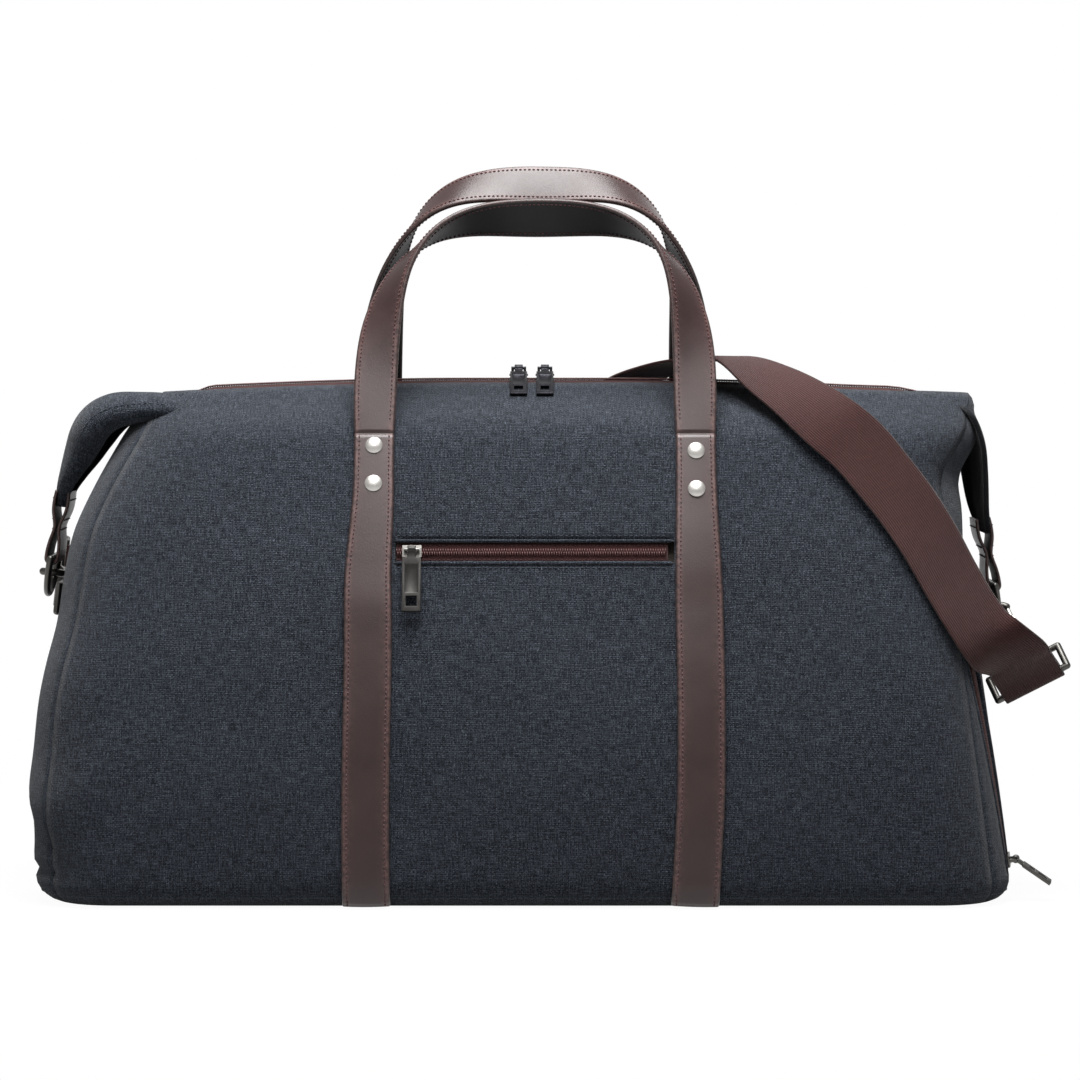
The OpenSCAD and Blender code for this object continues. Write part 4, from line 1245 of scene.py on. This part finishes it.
@dataclass
class SewnStrap:
    """One leather strap sewn down the front or back of the shell."""

    name: str
    node: str
    x: float
    back: bool
    thick: float = 0.003
    wide: float = 0.0275
    narrow: float = 0.0232
    top: float = 0.26597

    def drift(self, zs: Array) -> Array:
        """How far the strap wanders sideways from its straight line at each height."""
        below = (0.236 - zs) / 0.06
        lean = -0.0026 if self.x < 0 else 0.0012 - 0.0034 * np.clip(1 - zs / 0.07, 0, 1) ** 1.5
        return smooth(below) * lean + 0.0004 * np.sin(zs * 37 + self.x * 40) * np.clip(below, 0, 1)

    def build(self) -> None:
        """Builds the strap, its painted edges and two rows of stitches."""
        zs = np.concatenate([np.linspace(0.0035, FORM.base_roll, 6)[:-1],
                             np.linspace(FORM.base_roll, self.top, 92)])
        line, _ = FORM.front_place(self.x, zs, 0.0003 + self.thick / 2, self.back)
        line[:, 0] += self.drift(zs)
        width = self.wide + (self.narrow - self.wide) * smooth((zs - 0.165) / 0.09)
        across = np.tile([1.0 if self.back else -1.0, 0.0, 0.0], (len(zs), 1))
        piece, side, normal = sweep(self.name, line, across, width, np.full(len(zs), self.thick),
                                    LEATHER, 0.0004)
        for row in (-1, 1):
            row_line = line + side * (row * (width / 2 - 0.003))[:, None] + normal * (self.thick / 2 + PROUD)
            stitches(f"{self.name}_stitch_{'ab'[row > 0]}", row_line, normal, THREAD)
        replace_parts(piece, self.node)


@dataclass
class Handle:
    """One carrying handle: a flat leather strap that arches over and turns its face as it goes."""

    name: str
    node: str
    top: float
    back: bool
    turn: float
    mid: float = 0.0032
    half: float = 0.093
    hinge: float = 0.266
    thick: float = 0.003
    apart: float = 0.0035

    def place(self, a: float) -> Array:
        """The strap's middle at an angle of the arch, from 0 at the left foot to pi at the right."""
        h = self.top - self.hinge
        c, s = abs(math.cos(a)), abs(math.sin(a))
        r = 1 / ((c / self.half) ** 3.4 + (s / h) ** 3.4) ** (1 / 3.4)
        up = r * math.sin(a)
        u = up / h
        n = unit(np.array([0.0, -1.0, -FORM.depth_slope(self.hinge)]))
        foot = np.array([0.0, -FORM.depth(self.hinge), self.hinge]) + n * (0.0003 + self.thick / 2)
        y = foot[1] + 0.4 * h * u + (-self.apart - foot[1] - 0.4 * h) * u ** 2.2
        return np.array([self.mid - r * math.cos(a) + 0.003 * u ** 2, y, foot[2] + 0.00002 + up])

    def build(self) -> None:
        """Builds the strap with its dark inner face, made darker still as painted shade, and its stitching.
        """
        angles = np.linspace(0, math.pi, 121)
        line = np.array([self.place(a) for a in angles])
        tangent = unit(np.gradient(line, axis=0))
        lead = unit(np.array([0.0, -1.0, 0.0]) + tangent * tangent[:, 1:2])
        turn = np.radians(self.turn) * np.sin(angles) ** 3
        out = lead * np.cos(turn)[:, None] + np.cross(lead, tangent) * np.sin(turn)[:, None]
        mirror = np.array([1.0, -1.0 if self.back else 1.0, 1.0])
        line, out = line * mirror, out * mirror
        tangent = unit(np.gradient(line, axis=0))
        across = np.cross(out, tangent)
        way = np.linspace(0, 1, len(line))
        width = np.full(len(line), 0.0252) - 0.0016 * np.exp(-(np.minimum(way, 1 - way) / 0.05) ** 2)
        wrinkle = 0.0005 * ripple(line, 0.03, 6.0 + self.back) * np.sin(math.pi * way)
        piece, side, normal = sweep(self.name, line, across, width, np.full(len(line), self.thick),
                                    LEATHER, 0.0004, self.node, wrinkle)
        line = line + normal * wrinkle[:, None]
        for face in (1, -1):
            for row in (-1, 1):
                row_line = (line + side * (row * (width / 2 - 0.003))[:, None]
                            + normal * face * (self.thick / 2 + PROUD))
                stitches(f"{self.name}_stitch_{'io'[face > 0]}{'ab'[row > 0]}", row_line[3:-3],
                         (normal * face)[3:-3], THREAD, body=self.node)
        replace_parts(piece, self.node)


# ---- ears, tabs and the shoulder strap ---------------------------------------------------

INSIDE = 0.2
"""How far the inner side of a wing is moved along in its cloth layout, so that its weave differs."""

LEFT_WING = ((-192, 275, 48, 12), (-204, 279, 58, 15), (-216, 281, 66, 17), (-229, 281.4, 70, 18.5),
             (-243.5, 279, 72, 22), (-253.5, 273, 70, 24.5), (-260, 264.5, 66, 24.5),
             (-265, 254.5, 58, 21), (-271, 242, 50, 14.5), (-274.9, 232.2, 42, 10.5), (-276.4, 222, 36, 7.8))
"""Places along the left wing: x, z, width and depth in millimetres."""

RIGHT_WING = ((212, 276, 48, 10), (226, 281, 60, 12), (240, 283, 68, 14), (252, 281, 72, 14),
              (259.5, 273.5, 70, 13), (264, 260, 66, 13), (265.2, 243, 56, 12), (266, 222, 46, 10),
              (268.5, 206, 36, 7.8))
"""Places along the right wing, in the same order."""


@dataclass
class Ear:
    """A folded wing of canvas drawn out of the top of one end, with curled edges and an inner side in darker
    cloth as painted shade.
    """

    name: str
    node: str
    stations: tuple[tuple[float, float, float, float], ...]
    seed: float
    twist: float
    cloth: float = 0.0032
    count: int = 41

    def section(self, share: float, width: float, depth: float) -> Array:
        """The middle of the cloth across the wing at one place, as (across, outward) pairs."""
        reach, rise = width / 2 - self.cloth / 2, depth / 2 - self.cloth / 2
        if self.twist:
            u = np.linspace(-1, 1, self.count)
            open_share = np.sin(math.pi * np.clip(share, 0, 1)) ** 0.5
            lean = rise * (1 - (1 + u) * 0.9 * open_share)
            curl = -0.0105 * np.exp(-((1 - u) / 0.22) ** 2) * open_share * (1 - 0.75 * share)
            return np.stack([u * reach, lean + curl], axis=1)
        turns = np.radians(np.linspace(-128, 128, self.count))
        u = np.sign(np.sin(turns)) * np.abs(np.sin(turns)) ** 0.75
        across = u * reach * (1 - 0.25 * np.exp(-((1 - share) / 0.1) ** 2))
        return np.stack([across, rise - (1 - np.cos(turns)) * (depth - self.cloth) * 0.62], axis=1)

    def build(self) -> None:
        """Builds the wing and its hem stitching."""
        table = np.array([(x, 0.0, z, wide, deep) for x, z, wide, deep in self.stations]) * MM
        rows = curve_through(table, 0.0022)
        line, width, depth = rows[:, :3], rows[:, 3], rows[:, 4]
        tangent = unit(np.gradient(line, axis=0))
        rest = 1 - np.linspace(0, 1, len(line))
        if self.twist:
            low = smooth((rest - 0.58) / 0.17)
            line = line + np.stack([0 * rest, 0.005 * rest, -0.0065 * low], axis=1)
            width = width * (1 - 0.42 * low)
        side = unit(np.stack([self.twist * rest, 1 + 0 * rest, 0 * rest], axis=1))
        out = unit(np.cross(tangent, side))
        side = np.cross(out, tangent)
        if out[len(out) // 2][0] * line[-1][0] < 0:
            out = -out
        points, flat = [], []
        way = walked(line)
        half, n = self.count, 2 * self.count
        share = way / way[-1]
        for i, centre in enumerate(line):
            mid = self.section(share[i], width[i], depth[i])
            free = math.sin(math.pi * min(max(share[i] * 1.15 - 0.12, 0), 1))
            place = np.stack([mid[:, 0] * 0.8, np.full(half, way[i] * 0.55), 0 * mid[:, 0]], axis=1)
            mid[:, 1] += 0.0011 * ripple(place, 0.016, self.seed) * free
            slope = np.gradient(mid, axis=0)
            step = unit(np.stack([-slope[:, 1], slope[:, 0]], axis=1)) * self.cloth / 2
            for shift, edge in ((0.0, mid + step), (INSIDE, (mid - step)[::-1])):
                points.append(centre + edge[:, :1] * side[i] + edge[:, 1:2] * out[i])
                over = walked(edge)
                flat.append(np.stack([over - over[-1] / 2 + shift, np.full(half, way[i])], axis=1))
        points, flat = np.concatenate(points), np.concatenate(flat)
        faces = tube_faces(len(line), n)
        # The inner side of the wing takes the dark cloth, as painted shade.
        choice = [int(k % n >= half - 1) for k in range(len(faces) - 2)] + [1, 1]
        piece = as_mesh(self.name, points, faces, [CANVAS, WING_INSIDE_SHADE], flat, None, choice)
        rounding = piece.modifiers.new("soften", "SUBSURF")
        rounding.levels = rounding.render_levels = 1
        fix_outward(piece)
        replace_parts(piece, self.node)
        grid = points.reshape(len(line), n, 3)
        for row in (9, half - 10):
            track = grid[10:-2, row] + out[10:-2] * 2 * PROUD
            stitches(f"{self.name}_hem_{row}", track, out[10:-2], NAVY_THREAD, HEM)


def fix_outward(piece: bpy.types.Object) -> None:
    """Turns a closed mesh's faces to look outward, if they look inward."""
    mesh = piece.data
    total = 0.0
    for poly in mesh.polygons:
        v = [mesh.vertices[k].co for k in poly.vertices]
        total += sum(v[0].dot(v[k].cross(v[k + 1])) for k in range(1, len(v) - 1))
    if total < 0:
        mesh.flip_normals()


def cross_row(name: str, at: Array, side: Array, out: Array, reach: float, thick: float, count: int) -> None:
    """A straight row of stitches across a strap.

    Args:
        name: name of the row.
        at: the strap's middle.
        side: direction across the strap.
        out: outward direction.
        reach: how far the row goes to each side.
        thick: thickness of the strap.
        count: how many points the row is drawn through.
    """
    row = np.stack([at + side * y + out * (thick / 2 + PROUD) for y in np.linspace(-reach, reach, count)])
    stitches(name, row, np.tile(out, (count, 1)), THREAD)


@dataclass
class HangingTab:
    """A leather tab that holds a ring at the end of an ear: one strip folded round the ring's bar."""

    name: str
    node: str
    top: tuple[float, float]
    lean: float
    length: float = 0.032
    bend: float = 0.0033
    width: float = 0.035
    thick: float = 0.0018

    def build(self) -> None:
        """Builds the folded strip, with a waist above the ring, and its cross stitching."""
        angle = math.radians(self.lean)
        down = np.array([-math.sin(angle), 0.0, -math.cos(angle)])
        out = np.array([-math.cos(angle), 0.0, math.sin(angle)]) * (1 if self.top[0] < 0 else -1)
        start = np.array([self.top[0], 0.0, self.top[1]])
        half = [(-0.008, 0.0036), (-0.002, 0.0040), (0.004, 0.0036), (0.010, 0.0020), (0.0135, 0.00135),
                (0.017, 0.0017), (0.022, 0.0027), (0.0275, self.bend), (self.length, self.bend)]
        turn = [(self.length + self.bend * math.sin(a), self.bend * math.cos(a))
                for a in np.radians([30, 60, 90, 120, 150])]
        route = half + turn + [(u, -v) for u, v in reversed(half)]
        line = curve_through(np.array([start + down * u + out * v for u, v in route]), 0.0008)
        across = np.tile([0.0, 1.0, 0.0], (len(line), 1))
        tangent = unit(np.gradient(line, axis=0))
        if np.dot(np.cross(tangent[4], across[4]), out) < 0:
            across = -across
        count = len(line)
        piece, _, normal = sweep(self.name, line, across, np.full(count, self.width),
                                 np.full(count, self.thick), LEATHER, 0.0, steps=10)
        for k, reach in enumerate((0.0085, 0.0150, -0.003)):
            index = int(np.argmin(np.abs((line[:count // 2] - start) @ down - reach)))
            for at in (index, count - 1 - index):
                cross_row(f"{self.name}_row_{k}_{'ab'[at > index]}", line[at], np.array([0.0, 1.0, 0.0]),
                          normal[at], self.width / 2 - 0.003, self.thick, 14)
        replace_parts(piece, self.node)


@dataclass
class ShoulderStrap:
    """The webbing strap: from the left hook round the back, over the top and down the front to the right."""

    width: float = 0.038
    thick: float = 0.0018
    points: tuple[tuple[float, ...], ...] = (
        (-281, 113, 171), (-269, 118, 167), (-249, 117, 161), (-224, 112, 154), (-190, 109, 146),
        (-150, 109, 138), (-112, 109, 134), (-74, 108, 137), (-30, 103, 152), (8, 95, 178), (34, 83, 212),
        (46, 70, 244), (51, 60, 268), (53, 49, 282), (60, 35, 294), (76, 21, 303), (97, 8, 309),
        (120, -8, 310), (141, -26, 298), (158, -43, 287), (174, -57, 274), (190, -63, 260),
        (204, -69, 243), (217, -75, 226), (230, -81, 206), (242, -85, 184), (253, -88, 165),
        (265, -87, 149))
    across: tuple[tuple[float, ...], ...] = (
        (0.1, 0, 1), (0.1, 0, 1), (0.15, -0.1, 1), (0.2, -0.2, 1), (0.2, -0.25, 1), (0.1, -0.25, 1),
        (0, -0.27, 1), (-0.1, -0.3, 1), (-0.4, -0.4, 0.9), (-0.6, -0.35, 0.8), (-0.8, -0.2, 0.5),
        (-0.95, -0.1, 0.3), (-0.98, 0, 0.2), (-0.97, -0.2, 0), (-0.9, -0.43, 0), (-0.8, -0.6, 0),
        (-0.72, -0.69, 0), (-0.68, -0.73, 0), (-0.7, -0.6, -0.3), (-0.72, -0.45, -0.45),
        (-0.76, -0.25, -0.6), (-0.78, -0.22, -0.62), (-0.76, -0.28, -0.62), (-0.75, -0.33, -0.62),
        (-0.74, -0.4, -0.6), (-0.74, -0.45, -0.6), (-0.77, -0.45, -0.55), (-0.83, -0.3, -0.52))
    turn: tuple[tuple[float, float], ...] = (
        (36, -1.2), (24, -1.2), (14, -1.5), (7, -2.4), (1.5, -3.3), (-1.4, -3.1), (-3.1, -1.8),
        (-3.6, 0), (-3.1, 1.8), (-1.4, 3.1), (1.5, 3.3), (7, 2.5), (14, 1.6), (24, 1.3))
    left_bar: tuple[float, float, float] = (-285.26, 69.8083, 176.666)
    left_pull: tuple[float, float, float] = (0.0, -0.994937, 0.100499)
    left_side: tuple[float, float, float] = (0.1, 0.0, 1.0)
    right_bar: tuple[float, float, float] = (293.945, -42.2765, 120.983)
    right_pull: tuple[float, float, float] = (-0.298911, 0.617749, 0.72735)
    right_side: tuple[float, float, float] = (0.8, 0.0, 0.6)

    def table(self) -> Array:
        """Each point of the strap's middle line, in metres, with its width direction."""
        def square(pull: Array, side: Array) -> Array:
            """The side direction made square to the pull."""
            return unit(side - unit(pull) * (side @ unit(pull)))

        left_pull, right_pull = np.array(self.left_pull), np.array(self.right_pull)
        left_x = square(left_pull, np.array(self.left_side))
        right_x = square(right_pull, np.array(self.right_side))
        left_out, right_out = np.cross(left_x, left_pull), np.cross(right_x, right_pull)
        rows = [(self.left_bar - a * left_pull + b * left_out, left_x) for a, b in reversed(self.turn)]
        rows += [(p, unit(np.array(d, float))) for p, d in zip(self.points, self.across)]
        rows += [(self.right_bar + a * right_out + b * right_pull, -right_x) for a, b in self.turn]
        table = np.array([np.concatenate(row) for row in rows])
        table[:, :3] *= MM
        return table

    def build(self) -> None:
        """Builds the strap and its end stitching."""
        fine, ends = curve_through(self.table(), 0.0008), 90
        rows = np.concatenate([fine[:ends], fine[ends:-ends:4], fine[-ends:]])
        line, across = rows[:, :3], unit(rows[:, 3:])
        way = walked(line)
        free = np.clip(np.minimum(way, way[-1] - way) / 0.08 - 0.6, 0, 1)
        wave = 0.0004 * np.sin(way * 2 * math.pi / 0.11) * free
        piece, side, normal = sweep("shoulder_webbing", line, across, np.full(len(line), self.width),
                                    np.full(len(line), self.thick), [STRAP_WEB] * 3, 0.0, "root", wave,
                                    steps=16)
        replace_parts(piece, "webbing")
        line = line + normal * wave[:, None]
        for end, name in ((1, "left"), (-1, "right")):
            order = np.arange(len(line))[::end]
            local = walked(line[order])
            for k, reach in enumerate((0.004, 0.020)):
                at = order[int(np.argmin(np.abs(local - reach)))]
                for face in (1, -1):
                    cross_row(f"webbing_{name}_row_{k}_{'io'[face > 0]}", line[at], side[at],
                              normal[at] * face, self.width / 2 - 0.004, self.thick, 12)
        LOG.info("shoulder strap is %.3f m long", way[-1])


@dataclass
class Hardware:
    """Rings, snap hooks, rivets and the strap slide: hard pieces with rounded edges."""

    fine: float = 0.0002
    hook: float = 0.0003
    rivet: float = 0.0004
    slide: float = 0.0005

    def build(self) -> None:
        """Dresses each hard piece and lets it ride on its own body."""
        for side in ("left", "right"):
            rounded(f"d_ring_{side}", GUNMETAL, self.fine, f"d_ring_{side}")
            rounded(f"hook_loop_{side}", GUNMETAL, self.hook, "root")
            rounded(f"hook_claw_{side}", GUNMETAL, self.hook, f"hook_claw_{side}")
            rounded(f"hook_gate_{side}", NICKEL, self.fine, f"hook_gate_{side}")
            for face in ("front", "back"):
                rounded(f"rivet_{face}_{side}", NICKEL, self.rivet, "root")
        rounded("adjuster", GUNMETAL, self.slide, "root")


# ---- studio ------------------------------------------------------------------------------


@dataclass
class Studio:
    """Floor, light and camera."""

    centre: tuple[float, float, float] = (0.0061, -0.09, 0.2073)
    distance: float = 2.3
    height: float = 0.335
    span: float = 0.616

    def camera(self) -> None:
        """A long lens in front of the bag and a little above its top."""
        lens = bpy.data.cameras.new("camera")
        lens.sensor_width = 36.0
        lens.lens = 36.0 * self.distance / self.span
        eye = bpy.data.objects.new("camera", lens)
        place = Vector((self.centre[0], self.centre[1] - self.distance, self.height))
        eye.location = place
        eye.rotation_euler = (Vector(self.centre) - place).to_track_quat("-Z", "Y").to_euler()
        bpy.context.scene.collection.objects.link(eye)
        bpy.context.scene.camera = eye

    def white_to_camera(self, graph: Graph, surface: bpy.types.NodeSocket,
                        share: bpy.types.NodeSocket, level: bpy.types.NodeSocket) -> bpy.types.NodeSocket:
        """Mixes plain white over a surface for what the camera and metal see of it."""
        path = graph.node("LightPath")
        watched = graph.math("MAXIMUM", path.outputs["Is Camera Ray"], path.outputs["Is Glossy Ray"])
        seen = graph.times(watched, share)
        glow = graph.node("Emission", Color=WHITE, Strength=level)
        mixed = graph.node("MixShader", Fac=seen)
        graph.feed(mixed.inputs[1], surface)
        graph.feed(mixed.inputs[2], glow.outputs[0])
        return mixed.outputs[0]

    def floor(self) -> None:
        """A pale floor that keeps the bag's shadow."""
        mat = bpy.data.materials.new("pale floor")
        mat.use_nodes = True
        graph = Graph(mat.node_tree)
        shader = mat.node_tree.nodes["Principled BSDF"]
        set_input(shader, "Base Color", (0.3, 0.3, 0.3, 1.0))
        set_input(shader, "Roughness", 0.9)
        end = mat.node_tree.nodes["Material Output"]
        place = graph.tree.nodes.new("ShaderNodeTexCoord")
        reach = graph.node("VectorMath", Vector=place.outputs["Object"])
        reach.operation = "LENGTH"
        away = graph.spread(reach.outputs["Value"], 0.34, 0.62)
        share = graph.plus(graph.times(away, 0.12), 0.88)
        level = graph.minus(1.09, graph.times(away, 0.09))
        graph.feed(end.inputs["Surface"], self.white_to_camera(graph, shader.outputs[0], share, level))
        mesh = bpy.data.meshes.new("floor")
        mesh.from_pydata([(-6, -6, -0.0003), (6, -6, -0.0003), (6, 6, -0.0003), (-6, 6, -0.0003)], [],
                         [(0, 1, 2, 3)])
        mesh.materials.append(mat)
        plane = bpy.data.objects.new("floor", mesh)
        bpy.context.scene.collection.objects.link(plane)

    def surround(self) -> None:
        """A surround that looks white, and lights the bag only weakly."""
        world = bpy.data.worlds.new("surround")
        world.use_nodes = True
        bpy.context.scene.world = world
        graph = Graph(world.node_tree)
        path = graph.node("LightPath")
        level = graph.plus(graph.times(path.outputs["Is Camera Ray"], 0.95), 0.05)
        level = graph.plus(graph.times(path.outputs["Is Glossy Ray"], 0.38), level)
        graph.feed(world.node_tree.nodes["Background"].inputs["Strength"], level)
        set_input(world.node_tree.nodes["Background"], "Color", WHITE)

    def lamp(self, name: str, place: Place, aim: Place, size: float, power: float,
             gloss_only: bool = False) -> None:
        """One soft square lamp, or one that only shines back from glossy pieces."""
        light = bpy.data.lights.new(name, "AREA")
        light.shape, light.size, light.energy = "SQUARE", size, power
        piece = bpy.data.objects.new(name, light)
        piece.location = place
        piece.rotation_euler = (Vector(aim) - Vector(place)).to_track_quat("-Z", "Y").to_euler()
        piece.visible_diffuse = not gloss_only
        bpy.context.scene.collection.objects.link(piece)

    def lights(self) -> None:
        """Soft light from above and in front, a weaker one from the right and one behind."""
        self.lamp("top", (0.0, -0.25, 1.8), (0, 0, 0.2), 1.1, 56)
        self.lamp("key", (-1.2, -1.8, 1.7), (0, 0, 0.2), 1.1, 2.2)
        self.lamp("fill", (1.6, -1.5, 1.1), (0, 0, 0.2), 1.4, 0.8)
        self.lamp("sheen", (0.0, -1.45, 1.85), (0, 0, 0.25), 0.9, 12, gloss_only=True)
        self.lamp("back", (0.2, 1.8, 1.2), (0, 0, 0.2), 1.4, 8)

    def build(self) -> None:
        """Sets up the floor, surround and light."""
        self.floor()
        self.surround()
        self.lights()
        bpy.context.scene.view_settings.view_transform = "Standard"


def main() -> None:
    """Builds every sub-assembly in order and reports it."""
    logging.basicConfig(level=logging.INFO, format="%(message)s")
    studio = Studio()
    studio.camera()
    ShoulderStrap().build()
    studio.build()
    Shell().build()
    LOG.info("shell built")
    Zips().build()
    for face in ("front", "back"):
        for side, x in zip(("left", "right"), FORM.straps):
            SewnStrap(f"sewn_{face}_{side}", f"strap_{face}_{side}", x, face == "back").build()
    LOG.info("sewn straps built")
    Handle("handle_front_leather", "handle_front", 0.392, False, 151.0).build()
    Handle("handle_back_leather", "handle_back", 0.412, True, 148.0).build()
    LOG.info("handles built")
    Ear("ear_wing_left", "ear_left", LEFT_WING, 21.0, 0.0).build()
    Ear("ear_wing_right", "ear_right", RIGHT_WING, 31.0, 0.2).build()
    HangingTab("tab_leather_left", "tab_left", (-0.2764, 0.224), 10.0).build()
    HangingTab("tab_leather_right", "tab_right", (0.2685, 0.208), -10.0).build()
    LOG.info("ears and tabs built")
    Hardware().build()


if __name__ == "__main__":
    main()
